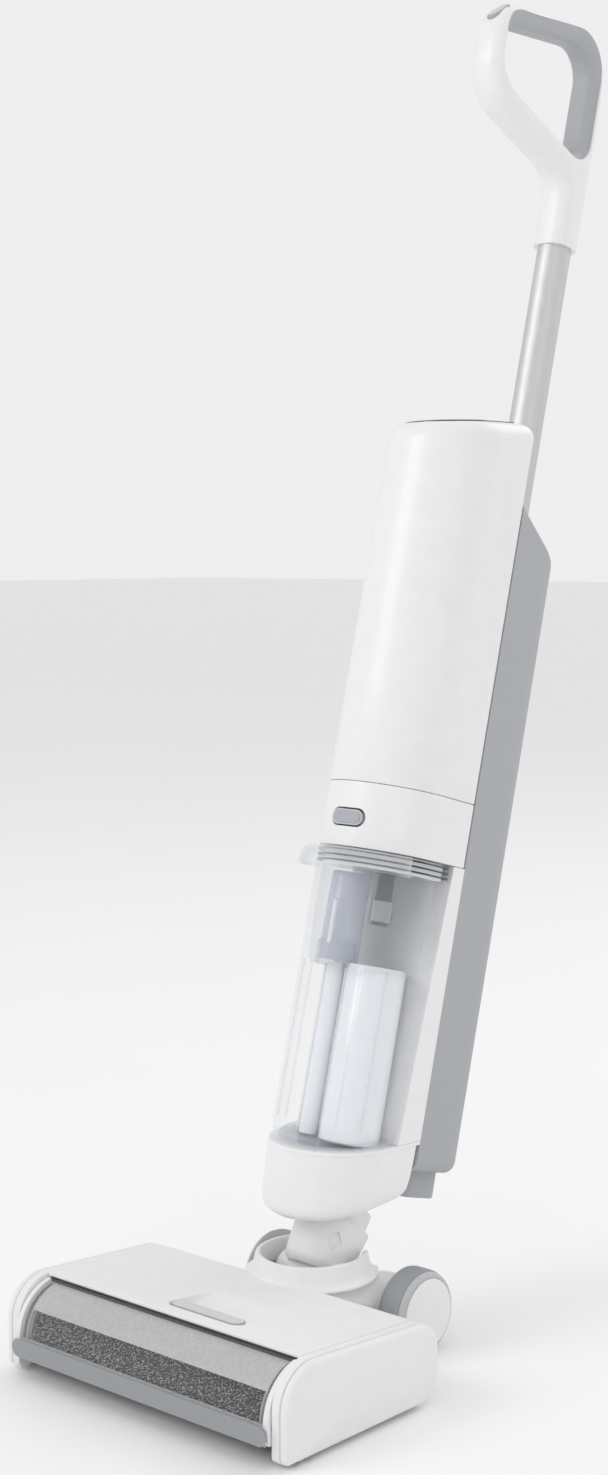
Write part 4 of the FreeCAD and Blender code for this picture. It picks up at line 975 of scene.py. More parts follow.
@dataclass
class RollerCover:
    """The clear cover over the roller, with its frames, frosted band, bumper and seal."""

    centre: tuple[float, float] = (36.0, 28.0)
    radius: float = 39.0
    wall: float = 2.5
    half: float = 129.9
    glass_half: float = 127.0
    rail_half: float = 125.2
    bumper_half: float = 129.4

    def build(self) -> None:
        """Builds every piece of the lift-off cover."""
        window = self.band("window", self.radius, self.radius - self.wall, 99.6, 178.5, -self.glass_half,
                           self.glass_half)
        dress(window, CLEAR_WINDOW, "roller_cover", "clear_plastic", "roller_window")
        frost = self.band("frosted_upper_band", self.radius - 2.7, self.radius - 3.1, 101.0, 144.5, -121, 121)
        dress(frost, FROSTED_BAND, "roller_cover", "clear_plastic")
        self.frames()
        self.front_rail()
        self.bumper()
        seal = self.band("window_seal", self.radius + 0.9, self.radius - 2.8, 97.2, 99.6, -self.glass_half,
                         self.glass_half)
        dress(seal, SEAL, "roller_cover", "black_rubber", "cover_seal")

    def band(self, name: str, outer: float, inner: float, start: float, end: float, low: float,
             high: float, steps: int = 44) -> bpy.types.Object:
        """Bends a plate round the roller's axis.

        Args:
            name: The piece's name.
            outer: Its outer radius.
            inner: Its inner radius.
            start: Angle of its back edge in degrees, from level and pointing back.
            end: Angle of its front edge in degrees.
            low: Its left end.
            high: Its right end.
            steps: Parts along the bend.

        Returns:
            The plate.
        """
        turns = np.radians(np.linspace(start, end, steps))
        arcs = [np.column_stack((self.centre[0] + reach * np.cos(way), self.centre[1] + reach * np.sin(way)))
                for reach, way in ((outer, turns), (inner, turns[::-1]))]
        section = np.vstack(arcs)
        rings = [Facing.SIDE.lay(section, across) for across in np.linspace(low, high, 5)]
        return loft(name, rings, Place.HEAD, Cap.SINGLE, Cap.SINGLE)

    def frames(self) -> None:
        """The white arch at each end of the window, and the clear rib beside it."""
        for side, word in ((-1, "left"), (1, "right")):
            low, high = sorted((side * 125.4, side * self.half))
            arch = self.band(f"{word}_arch", self.radius + 0.3, self.radius - 4.0, 99.6, 200.0, low, high)
            replaced = ("cover_rim",) if side < 0 else ()
            dress(soften(arch, 0.5), HEAD_WHITE, "roller_cover", "white_shell", *replaced)
            low, high = sorted((side * 119.6, side * 121.2))
            rib = self.band(f"{word}_rib", self.radius - 2.6, self.radius - 6.2, 101.0, 186.0, low, high)
            dress(rib, FROSTED, "roller_cover", "clear_plastic")

    def front_rail(self) -> None:
        """The rail below the window that carries the bumper."""
        rail = self.band("front_rail", self.radius + 0.1, self.radius - self.wall, 178.6, 203.0,
                         -self.rail_half, self.rail_half)
        dress(rail, LIGHT_GREY, "roller_cover", "white_shell")

    def bumper(self) -> None:
        """The grey bumper strip with round ends."""
        low, high = (-self.bumper_half, 16.6), (self.bumper_half, 27.6)
        strip = slab("bumper", lambda inset: box_outline(low, high, 5.4, inset, 10), Facing.FRONT, -1.0, -6.2,
                     Place.HEAD, 0, -1.6)
        dress(strip, STRIP_GREY, "roller_cover", "grey_rubber", "bumper_strip")


@dataclass
class Roller:
    """The microfibre roller."""

    radius: float = 28.5
    bore: float = 21.2
    half: float = 121.6
    edge: float = 1.2

    def build(self) -> None:
        """Builds the sleeve with its tufts."""
        end, edge = self.half, self.edge
        profile = [(self.bore, -end), (self.radius - edge, -end), (self.radius, -end + edge)]
        profile += [(self.radius, along) for along in np.linspace(-end + 4, end - 4, 24)]
        profile += [(self.radius, end - edge), (self.radius - edge, end), (self.bore, end)]
        sleeve = turned("microfibre_roller", profile, (0, *ROLLER_AXIS), 0, Place.HEAD, 64)
        pile_tree().apply(sleeve)
        dress(sleeve, PILE, "roller", "microfibre", "microfibre_sleeve")


@dataclass
class Wheels:
    """The two rear wheels."""

    depth: float = CleaningHead.axle_depth
    height: float = CleaningHead.axle_height
    radius: float = CleaningHead.axle_height

    def build(self) -> None:
        """Builds a tyre, a bevelled rim and a hub disc on each side."""
        for side, word in ((-1, "left"), (1, "right")):
            body = f"{word}_wheel"
            self.part(f"{word}_tyre_ring", side, TYRE_GREY, body, "grey_tyre", (f"{word}_tyre",), [
                (24.0, 58.2), (29.0, 58.2), (31.4, 58.9), (32.7, 60.4), (self.radius, 62.6),
                (self.radius, 74.0), (33.1, 76.4), (32.4, 78.4), (30.0, 79.0), (24.0, 79.0)])
            self.part(f"{word}_rim_ring", side, TYRE_RIM, body, "grey_tyre", (), [
                (24.5, 78.9), (32.1, 78.7), (32.2, 79.1), (31.6, 80.8), (30.4, 82.2), (28.6, 83.0),
                (28.1, 82.8), (28.0, 82.2), (24.5, 82.2)])
            self.part(f"{word}_hub_disc", side, HEAD_WHITE, body, "white_shell", (f"{word}_hub",), [
                (4.1, 59.0), (24.2, 59.0), (26.0, 60.0), (26.0, 79.5), (27.7, 81.8), (27.7, 83.2),
                (27.2, 83.9), (24.0, 84.3), (12.0, 84.8), (0.0, 84.9), (0.0, 84.4), (4.1, 84.3)])

    def part(self, name: str, side: int, finish: Finish, body: str, slot: str, nodes: tuple[str, ...],
             profile: Sequence[tuple[float, float]]) -> None:
        """Turns one ring of a wheel.

        Args:
            name: The piece's name.
            side: -1 for left and 1 for right.
            finish: Its finish.
            body: Its body.
            slot: Its material slot.
            nodes: Nodes of the frame that it stands for.
            profile: Pairs of radius and distance from the middle of the machine.
        """
        section = [(radius, side * along) for radius, along in profile]
        piece = turned(name, section, (0, self.depth, self.height), 0, Place.HEAD, 96)
        dress(piece, finish, body, slot, *nodes)


@dataclass
class Neck:
    """The short inclined neck."""

    low_radius: float = 27.0
    high_radius: float = 29.8
    length: float = 57.8
    bore: float = 12.4

    def build(self) -> None:
        """Builds the neck with its barrel, its side dimple and the swivel stub."""
        profile = [(self.bore, 2.0), (22.0, 2.0), (25.6, 5.0), (self.low_radius, 9.0), (28.6, 26.0),
                   (self.high_radius, 41.5), (29.2, 42.8), (26.0, 43.2), (26.0, 57.0), (25.4, self.length),
                   (self.bore, self.length)]
        neck = turned("neck_shell", profile, (0, 0, 0), 2, Place.NECK, 80)
        dimple = slab("dimple", lambda inset: rounded([(-6.6, 25), (0, 17), (6.6, 25), (0, 33)], [1.0] * 4),
                      Facing.FRONT, -40.0, -26.4, Place.HEAD)
        dimple.data.transform(turn_about_z(52.0))
        dimple.data.transform(neck_matrix())
        dress(cut(neck, dimple), HEAD_WHITE, "neck", "white_shell", "neck_yoke")
        barrel = turned("neck_barrel", [(4.1, -28.6), (12.6, -28.6), (13.0, -28.0), (13.0, 28.0),
                                        (12.6, 28.6), (4.1, 28.6)], (0, 0, 0), 0, Place.NECK, 48)
        dress(barrel, HEAD_WHITE, "neck", "white_shell")


def turn_about_z(angle: float) -> Matrix:
    """The matrix that turns a mesh about the vertical through its frame's origin, in degrees."""
    back = Matrix.Translation((0, -ROW_SHIFT * MM, 0))
    return back @ Matrix.Rotation(math.radians(angle), 4, "Z") @ back.inverted()


def neck_matrix() -> Matrix:
    """The matrix that carries a mesh drawn in the head frame to the neck frame."""
    lean, depth, height = Place.NECK.value
    back = Matrix.Translation((0, -ROW_SHIFT * MM, 0))
    lay = Matrix.Translation((0, (depth - ROW_SHIFT) * MM, height * MM))
    return lay @ Matrix.Rotation(-math.radians(lean), 4, "X") @ back.inverted()


# ---------------------------------------------------------------- tower
# How fast the seam between the tank and the base rises to the back, per unit of depth.
TANK_SLANT = 0.211


def level_ring(plan: np.ndarray, height: float) -> np.ndarray:
    """A plan laid flat at a height."""
    return np.column_stack((plan, np.full(len(plan), height)))


def ruled_ring(plan: np.ndarray, rule: Callable[[np.ndarray], np.ndarray]) -> np.ndarray:
    """A plan raised to the height that a rule gives at each point's depth."""
    return np.column_stack((plan, rule(plan[:, 1])))


@dataclass
class Tower:
    """The white tower: base, motor ring and the tall upper body, with the display on top."""

    radius: float = TOWER_RADIUS
    back: float = 41.8
    ring_low: float = 391.9
    ring_high: float = 443.5
    top: float = 722.0
    crown: float = 2.4
    button: tuple[float, float, float] = (30.0, 12.2, 414.7)

    def build(self) -> None:
        """Builds the fixed white shells from the base up."""
        self.base()
        self.motor_ring()
        self.upper_body()
        self.display()

    def base(self) -> None:
        """The base under the tank: nearly straight sides, a round rim and a hole for the neck."""
        rings = []
        for radius, back, rule in ((50.9, 41.0, slanted(152.6, TANK_SLANT)),
                                   (51.6, 41.8, slanted(151.9, TANK_SLANT)),
                                   (51.4, 41.8, slanted(140.0, 0.23)), (50.6, 41.6, slanted(122.0, 0.28)),
                                   (49.9, 41.2, slanted(112.0, 0.31)), (49.2, 40.8, slanted(107.5, 0.32)),
                                   (47.7, 39.8, slanted(103.8, 0.326)), (45.2, 38.0, slanted(101.2, 0.326)),
                                   (41.0, 34.5, slanted(98.4, 0.326)), (36.0, 30.0, slanted(97.0, 0.326))):
            rings.append(ruled_ring(tower_plan(radius, back, 6.0), rule))
        base = loft("base_cup", rings, Place.TOWER, Cap.LADDER, Cap.LADDER)
        bore = turned("neck_space", [(0, 14), (31.4, 14), (31.4, 44.2), (26.1, 44.2), (26.1, 60), (0, 60)],
                      (0, 0, 0), 2, Place.NECK, 64)
        dress(cut(base, bore), WHITE, "tower", "white_shell", "base_shell")

    def motor_ring(self) -> None:
        """The ring above the tank, with the pocket of the release button."""
        rings = []
        low, high = self.ring_low, self.ring_high
        for inset, height in ((1.0, low), (0.3, low + 0.3), (0.0, low + 0.9), (0.0, 418.0), (0.0, high - 0.9),
                              (0.3, high - 0.3), (1.0, high)):
            rings.append(level_ring(tower_plan(self.radius - inset, self.back - inset, 2.5), height))
        ring = loft("motor_ring", rings, Place.TOWER, Cap.LADDER, Cap.LADDER)
        wide, tall, level = self.button
        near = (-wide / 2 - 1.5, level - tall / 2 - 1.3)
        far = (wide / 2 + 1.5, level + tall / 2 + 1.3)
        pocket = slab("pocket", lambda inset: box_outline(near, far, 7.2, 0, 10), Facing.FRONT, -60.0, -38.6,
                      Place.TOWER)
        dress(soften(cut(ring, pocket), 0.5, 2, 50), WHITE, "tower", "white_shell", "motor_cover")
        floor = slab("pocket_floor", lambda inset: box_outline((-18, level - 8), (18, level + 8), 5, inset),
                     Facing.FRONT, -39.4, -38.0, Place.TOWER)
        dress(floor, GREY, "tower", "grey_plastic")

    def upper_body(self) -> None:
        """The tall upper body with its softly rounded level top."""
        rings = []
        for inset, height in ((1.0, 443.8), (0.3, 444.1), (0.0, 444.8), (0.0, 520.0), (0.0, 600.0)):
            rings.append(level_ring(tower_plan(self.radius - inset, self.back - inset, 2.5), height))
        for turn in np.linspace(0, math.pi / 2, 11):
            inset = 1 - math.cos(turn)
            plan = tower_plan(self.radius - 11.0 * inset, self.back - 8.0 * inset, 2.5 + 9.0 * inset)
            rule = level_height(self.top + self.crown - 14.0 * (1 - math.sin(turn)))
            rings.append(ruled_ring(plan, rule))
        body = loft("upper_body", rings, Place.TOWER, Cap.LADDER, Cap.LADDER)
        dress(body, WHITE, "tower", "white_shell", "upper_front_shell", "top_cap")

    def display(self) -> None:
        """The black display lens that lies on the top."""
        rings = []
        for inset, lift in ((0.0, -0.6), (0.0, 0.6), (0.3, 0.9), (4.0, 1.5), (12.0, 2.3), (22.0, 2.8)):
            plan = tower_plan(40.2 - inset, 33.4 - inset, 11.0 - inset * 0.3)
            rings.append(ruled_ring(plan, level_height(self.top + self.crown + lift)))
        lens = loft("display", rings, Place.TOWER, Cap.LADDER, Cap.LADDER)
        dress(lens, GLASS_BLACK, "tower", "display_glass", "display_lens")


@dataclass
class RearHousing:
    """The grey rear housing with its charging foot, exhaust ribs and screws."""

    front: float = 42.3
    back: float = 112.0
    half: float = 51.6
    corner: float = 30.0
    low: float = 150.0
    high: float = 693.0
    fall: float = 0.61
    bottom_round: float = 20.0
    foot_edge: float = 9.0
    roof_edge: float = 5.0
    tank_low: float = 230.0
    tank_high: float = 540.0
    tank_half: float = 35.7

    def build(self) -> None:
        """Builds the housing and what is fixed to it."""
        self.shell()
        self.foot()
        self.exhaust()
        self.screws()

    def plan(self, inset: float) -> np.ndarray:
        """The plan of the housing; opposite points mirror each other."""
        half, back, corner = self.half - inset, self.back - inset, self.corner - inset
        side = [(half, depth) for depth in np.linspace(self.front, back - corner, 16)]
        side += [(half - corner * (1 - math.cos(a)), back - corner * (1 - math.sin(a)))
                 for a in np.linspace(0, math.pi / 2, 17)[1:]]
        side += [(across, back) for across in np.linspace(half - corner, 0.6, 6)[1:]]
        face = [(across, self.front) for across in np.linspace(0.6, half, 10)[:-1]]
        whole = face + side
        return np.array(whole + [(-across, depth) for across, depth in reversed(whole)])

    def floor_line(self, depth: np.ndarray) -> np.ndarray:
        """The height of the housing's underside, which curves up at the back."""
        past = np.clip(depth - (self.back - self.bottom_round), 0, self.bottom_round - 0.01)
        return self.low + self.bottom_round - np.sqrt(self.bottom_round ** 2 - past ** 2)

    def roof_line(self, depth: np.ndarray) -> np.ndarray:
        """The height of the housing's top, which falls to the back."""
        return self.high - self.fall * (depth - self.front)

    def shell(self) -> None:
        """The housing, open at the back for the clean-water tank."""
        rings = []
        for turn in np.linspace(0, math.pi / 2, 6):
            plan = self.plan(self.foot_edge * (1 - math.sin(turn)))
            lift = self.foot_edge * (1 - math.cos(turn))
            rings.append(np.column_stack((plan, self.floor_line(plan[:, 1]) + lift)))
        for turn in np.linspace(math.pi / 2, 0, 6):
            plan = self.plan(self.roof_edge * (1 - math.sin(turn)))
            drop = self.roof_edge * (1 - math.cos(turn))
            rings.append(np.column_stack((plan, self.roof_line(plan[:, 1]) - drop)))
        shell = loft("rear_housing", rings, Place.TOWER, Cap.LADDER, Cap.LADDER)
        low = (-self.tank_half - 0.4, self.tank_low - 0.4)
        high = (self.tank_half + 0.4, self.tank_high + 0.4)
        opening = slab("tank_bay", lambda inset: box_outline(low, high, 1.0), Facing.FRONT, 61.0, 120.0,
                       Place.TOWER)
        dress(cut(shell, opening), GREY_SHELL, "tower", "grey_shell", "rear_housing_shell")

    def foot(self) -> None:
        """The charging foot under the housing."""
        foot = slab("dock_foot", lambda inset: box_outline((-30, 62), (30, 104), 9, inset, 10), Facing.TOP,
                    127.0, 152.0, Place.TOWER, 1.4, 0.0)
        dress(foot, GREY_SHELL, "tower", "grey_shell", "charging_foot")

    def exhaust(self) -> None:
        """A field of short exhaust ribs on the back of the housing, above the tank."""
        rows = [(0.0, self.back - 0.1, height) for height in np.arange(566.0, 627.0, 5.0)]
        ribs = marks("exhaust_ribs", rows, Place.TOWER)
        lay = Repeat("exhaust_rib_field", {
            "Rib length": ("Float", 34 * MM), "Rib height": ("Float", 1.9 * MM),
            "Rib depth": ("Float", 1.0 * MM)}, SEAL)
        ports = lay.source.outputs
        size = lay.node("ShaderNodeCombineXYZ", {"X": ports["Rib length"], "Y": ports["Rib depth"],
                                                 "Z": ports["Rib height"]})
        bar = lay.node("GeometryNodeMeshCube", {"Size": size.outputs["Vector"]}, {"Vertices X": 6})
        put = lay.node("GeometryNodeInstanceOnPoints", {"Points": ports["Geometry"],
                                                        "Instance": bar.outputs["Mesh"]},
                       {"Rotation": (-LEAN, 0.0, 0.0)})
        lay.end(put.outputs["Instances"])
        lay.apply(ribs)
        dress(shade(soften(ribs, 0.35, 2)), SEAL, "tower", "black_rubber")

    def screws(self) -> None:
        """Four small screws that close the housing at the back."""
        spots = [(side * 25.0, self.back + 0.2, height) for side in (-1, 1) for height in (205.0, 556.0)]
        screws = marks("housing_screws", spots, Place.TOWER)
        screw_tree("housing_screw_heads", 3.0, 0.9, (-math.pi / 2 - LEAN, 0.0, 0.0), STEEL).apply(screws)
        dress(shade(screws), STEEL, "tower", "steel")


@dataclass
class DirtyTank:
    """The clear dirty-water tank with its pull lip, seals, strainer cup and pipe."""

    radius: float = 51.5
    wall: float = 2.2
    top: float = 391.5
    back_low: float = 14.2
    back_high: float = 27.2

    def build(self) -> None:
        """Builds every clear piece of the tank."""
        self.shell()
        self.lip()
        self.seals()
        self.strainer()
        self.column()
        self.pipe()
        self.handle_ribs()

    def ring(self, share: float, inset: float, lift: float = 0.0) -> np.ndarray:
        """One ring of the tank wall.

        Args:
            share: 0 at the slanted bottom and 1 at the level top.
            inset: How far the ring is moved in.
            lift: How far it is raised.

        Returns:
            The ring's points.
        """
        draw_in = 3.2 * max(0.0, 1 - share / 0.09) ** 2
        back = self.back_low + (self.back_high - self.back_low) * share - inset
        plan = tower_plan(self.radius - inset - draw_in, back, max(5.0 - inset, 1.0))
        bottom = slanted(155.9, TANK_SLANT)(plan[:, 1])
        return np.column_stack((plan, bottom + (self.top - bottom) * share + lift))

    def shell(self) -> None:
        """The tank's outer wall and its thick clear bottom."""
        shares = [0.0, 0.004, 0.012, 0.03, 0.06, 0.1, 0.3, 0.5, 0.7, 0.9, 1.0]
        outside = [self.ring(share, max(0.0, 1.5 - share * 120)) for share in shares]
        dress(loft("tank_wall", outside, Place.TOWER, Cap.LADDER, Cap.LADDER), CLEAR, "dirty_tank",
              "clear_plastic", "dirty_tank")
        plate = [self.ring(0.0, 6.0, 1.0), self.ring(0.0, 3.6, 1.6), self.ring(0.0, 3.2, 3.4),
                 self.ring(0.0, 4.4, 4.4), self.ring(0.0, 9.0, 3.2)]
        dress(loft("tank_bottom", plate, Place.TOWER, Cap.LADDER, Cap.LADDER), CLEAR_EDGE, "dirty_tank",
              "clear_plastic")

    def lip(self) -> None:
        """The curved lip at the front of the tank's top, which the hand pulls."""
        arms = np.linspace(-math.radians(68), math.radians(68), 49)
        reach = 20.0 * np.clip(np.cos(arms * 90 / 68), 0, 1) ** 0.6
        near = self.radius - 0.4
        rings = []
        for arm, out in zip(arms, reach):
            section = [(near, 391.2), (near + out * 0.5, 390.6), (near + out * 0.86, 388.4),
                       (near + out, 384.0), (near + out + 0.8, 374.6), (near + out - 0.9, 374.6),
                       (near + out - 1.9, 383.6), (near + out * 0.8 - 1.0, 386.4),
                       (near + out * 0.5 - 0.6, 388.4), (near - 0.9, 389.0)]
            rings.append(np.array([(r * math.sin(arm), -r * math.cos(arm), s) for r, s in section]))
        lip = loft("pull_lip", rings, Place.TOWER, Cap.SINGLE, Cap.SINGLE, sharp=50.0)
        dress(lip, CLEAR_LIP, "dirty_tank", "clear_plastic")

    def seals(self) -> None:
        """Three dark seal beads round the lid."""
        points, edges = [], []
        for height in (380.6, 384.8, 389.0):
            plan = tower_plan(self.radius - 0.9, self.back_high - 1.2, 5.0, 30)
            first = len(points)
            points += [(across, depth, height) for across, depth in plan]
            edges += [(first + i, first + (i + 1) % len(plan)) for i in range(len(plan))]
        beads = marks("lid_seals", points, Place.TOWER, edges)
        cord_tree("seal_beads", 0.75, SEAL).apply(beads)
        dress(shade(beads, 60), SEAL, "dirty_tank", "black_rubber", "tank_seals")

    def strainer(self) -> None:
        """The translucent strainer cup that hangs from the lid."""
        rings = []
        for height, inset in ((377.4, 4.6), (340.0, 5.2), (308.0, 6.0), (301.5, 6.8), (299.0, 9.0)):
            plan = tower_plan(self.radius - inset, self.back_low + 6.0 - inset, 5.0)
            rings.append(level_ring(plan, height))
        cup = loft("strainer_cup", rings, Place.TOWER, Cap.LADDER, Cap.LADDER)
        dress(cup, CLEAR_CUP, "dirty_tank", "clear_plastic")
        lid = [level_ring(tower_plan(radius, back, 4.0), height)
               for radius, back, height in ((46.4, 21.6, 377.6), (47.1, 22.2, 378.4), (47.1, 22.2, 390.6),
                                            (46.4, 21.6, 391.2))]
        dress(loft("lid_block", lid, Place.TOWER, Cap.LADDER, Cap.LADDER), COLUMN_WHITE, "dirty_tank",
              "clear_plastic", "tank_lid")

    def column(self) -> None:
        """The translucent inner column that rises to the lid."""
        profile = [(0.0, 164.0), (22.4, 164.0), (24.0, 165.4), (23.4, 300.0), (22.0, 303.0), (0.0, 303.2)]
        column = turned("inner_column", profile, (17.0, -4.0, 0), 2, Place.TOWER, 72)
        dress(column, COLUMN_WHITE, "dirty_tank", "clear_plastic")
        profile = [(0.0, 303.0), (15.6, 303.0), (16.2, 305.0), (15.4, 372.0), (14.4, 374.0), (0.0, 374.2)]
        sleeve = turned("lid_sleeve", profile, (-18.0, -12.0, 0), 2, Place.TOWER, 64)
        dress(sleeve, BLUE_CLEAR, "dirty_tank", "clear_plastic")

    def pipe(self) -> None:
        """The suction pipe with the clear float collar, the float guide and the float rod."""
        profile = [(0.0, 166.0), (7.4, 166.0), (7.2, 300.0), (7.0, 302.0), (0.0, 302.2)]
        pipe = turned("suction_riser", profile, (-15.0, -16.0, 0), 2, Place.TOWER, 56)
        dress(pipe, COLUMN_WHITE, "dirty_tank", "clear_plastic", "suction_pipe")
        profile = [(0.0, 166.0), (2.6, 166.0), (2.4, 300.0), (0.0, 300.2)]
        guide = turned("float_guide", profile, (-33.0, -6.0, 0), 2, Place.TOWER, 24)
        dress(guide, COLUMN_WHITE, "dirty_tank", "clear_plastic")
        collar = [(0.0, 298.0), (14.6, 298.2), (15.8, 299.6), (15.8, 317.0), (15.0, 318.4), (0.0, 318.6)]
        dress(turned("float_collar", collar, (-15.0, -19.0, 0), 2, Place.TOWER, 48), CLEAR_EDGE, "dirty_tank",
              "clear_plastic")
        profile = [(0.0, 316.0), (1.9, 316.0), (1.9, 350.0), (0.0, 352.0)]
        rod = turned("float_rod", profile, (-12.0, -33.0, 0), 2, Place.TOWER, 20)
        dress(rod, COLUMN_WHITE, "dirty_tank", "clear_plastic")

    def handle_ribs(self) -> None:
        """Upright clear ribs inside the tank wall."""
        points, edges = [], []
        for turn in (-42.0, -18.0, 38.0, 62.0):
            way = math.radians(turn)
            reach = self.radius - self.wall - 1.2
            first = len(points)
            points += [(reach * math.sin(way), -reach * math.cos(way), height) for height in (176.0, 300.0)]
            edges.append((first, first + 1))
        ribs = marks("tank_ribs", points, Place.TOWER, edges)
        cord_tree("tank_rib_lines", 0.9, CLEAR_EDGE, 6).apply(ribs)
        dress(shade(ribs, 60), CLEAR_EDGE, "dirty_tank", "clear_plastic")


@dataclass
class Buttons:
    """The tank release button and the power button."""

    release: tuple[float, float, float] = Tower.button

    def build(self) -> None:
        """Builds both buttons."""
        wide, high, level = self.release
        outline = lambda inset: box_outline((-wide / 2, level - high / 2), (wide / 2, level + high / 2), 6.0,
                                            inset, 12)
        rim = slab("release_rim", lambda inset: outline(inset + 0.4), Facing.FRONT, -43.4, -50.9,
                   Place.TOWER, 0, -0.5)
        dress(rim, LIGHT_GREY, "release_button", "grey_plastic", "tank_release_button")
        face = slab("release_face", lambda inset: outline(inset + 2.6), Facing.FRONT, -45.0, -51.5,
                    Place.TOWER, 0, -0.9)
        dress(face, GREY, "release_button", "grey_plastic")
        self.power()

    def power(self) -> None:
        """The long oval power button on the corner of the grip."""
        for name, half_long, half_wide, low, high, finish, nodes in (
                ("power_rim", 13.0, 5.8, 22.9, 27.0, GREY, ("power_button",)),
                ("power_face", 11.6, 4.4, 25.6, 27.7, LATCH_GREY, ())):
            levels = ((0, low), (0, high - 0.8), (0.3, high - 0.25), (1.0, high), (2.4, high + 0.1))
            plug = corner_plug(name, half_wide, half_long, levels)
            dress(plug, finish, "power_button", "grey_plastic", *nodes)


# Front and top of the grip's outline, and the radius of the corner that holds the power button.
GRIP_FRONT = -42.0
GRIP_TOP = 1107.0
BUTTON_CORNER = 28.0


def corner_plug(name: str, half_wide: float, half_long: float,
                levels: Sequence[tuple[float, float]]) -> bpy.types.Object:
    """Makes an oval plug square to the front corner of the grip.

    Args:
        name: The piece's name.
        half_wide: Half its width across the machine.
        half_long: Half its length round the corner.
        levels: Pairs of inset and distance from the middle of the corner's curve.

    Returns:
        The plug.
    """
    centre = (GRIP_FRONT + BUTTON_CORNER, GRIP_TOP + GRIP_FRONT * math.tan(LEAN)
              - BUTTON_CORNER * math.tan(math.pi / 4 - LEAN / 2))
    turn, rings = math.radians(45.0), []
    for inset, level in levels:
        outline = box_outline((-half_wide, -half_long), (half_wide, half_long), half_wide - 0.2, inset, 10)
        depth = outline[:, 1] * math.cos(turn) - level * math.sin(turn)
        height = outline[:, 1] * math.sin(turn) + level * math.cos(turn)
        rings.append(np.column_stack((outline[:, 0], centre[0] + depth, centre[1] + height)))
    return loft(name, rings, Place.TOWER)


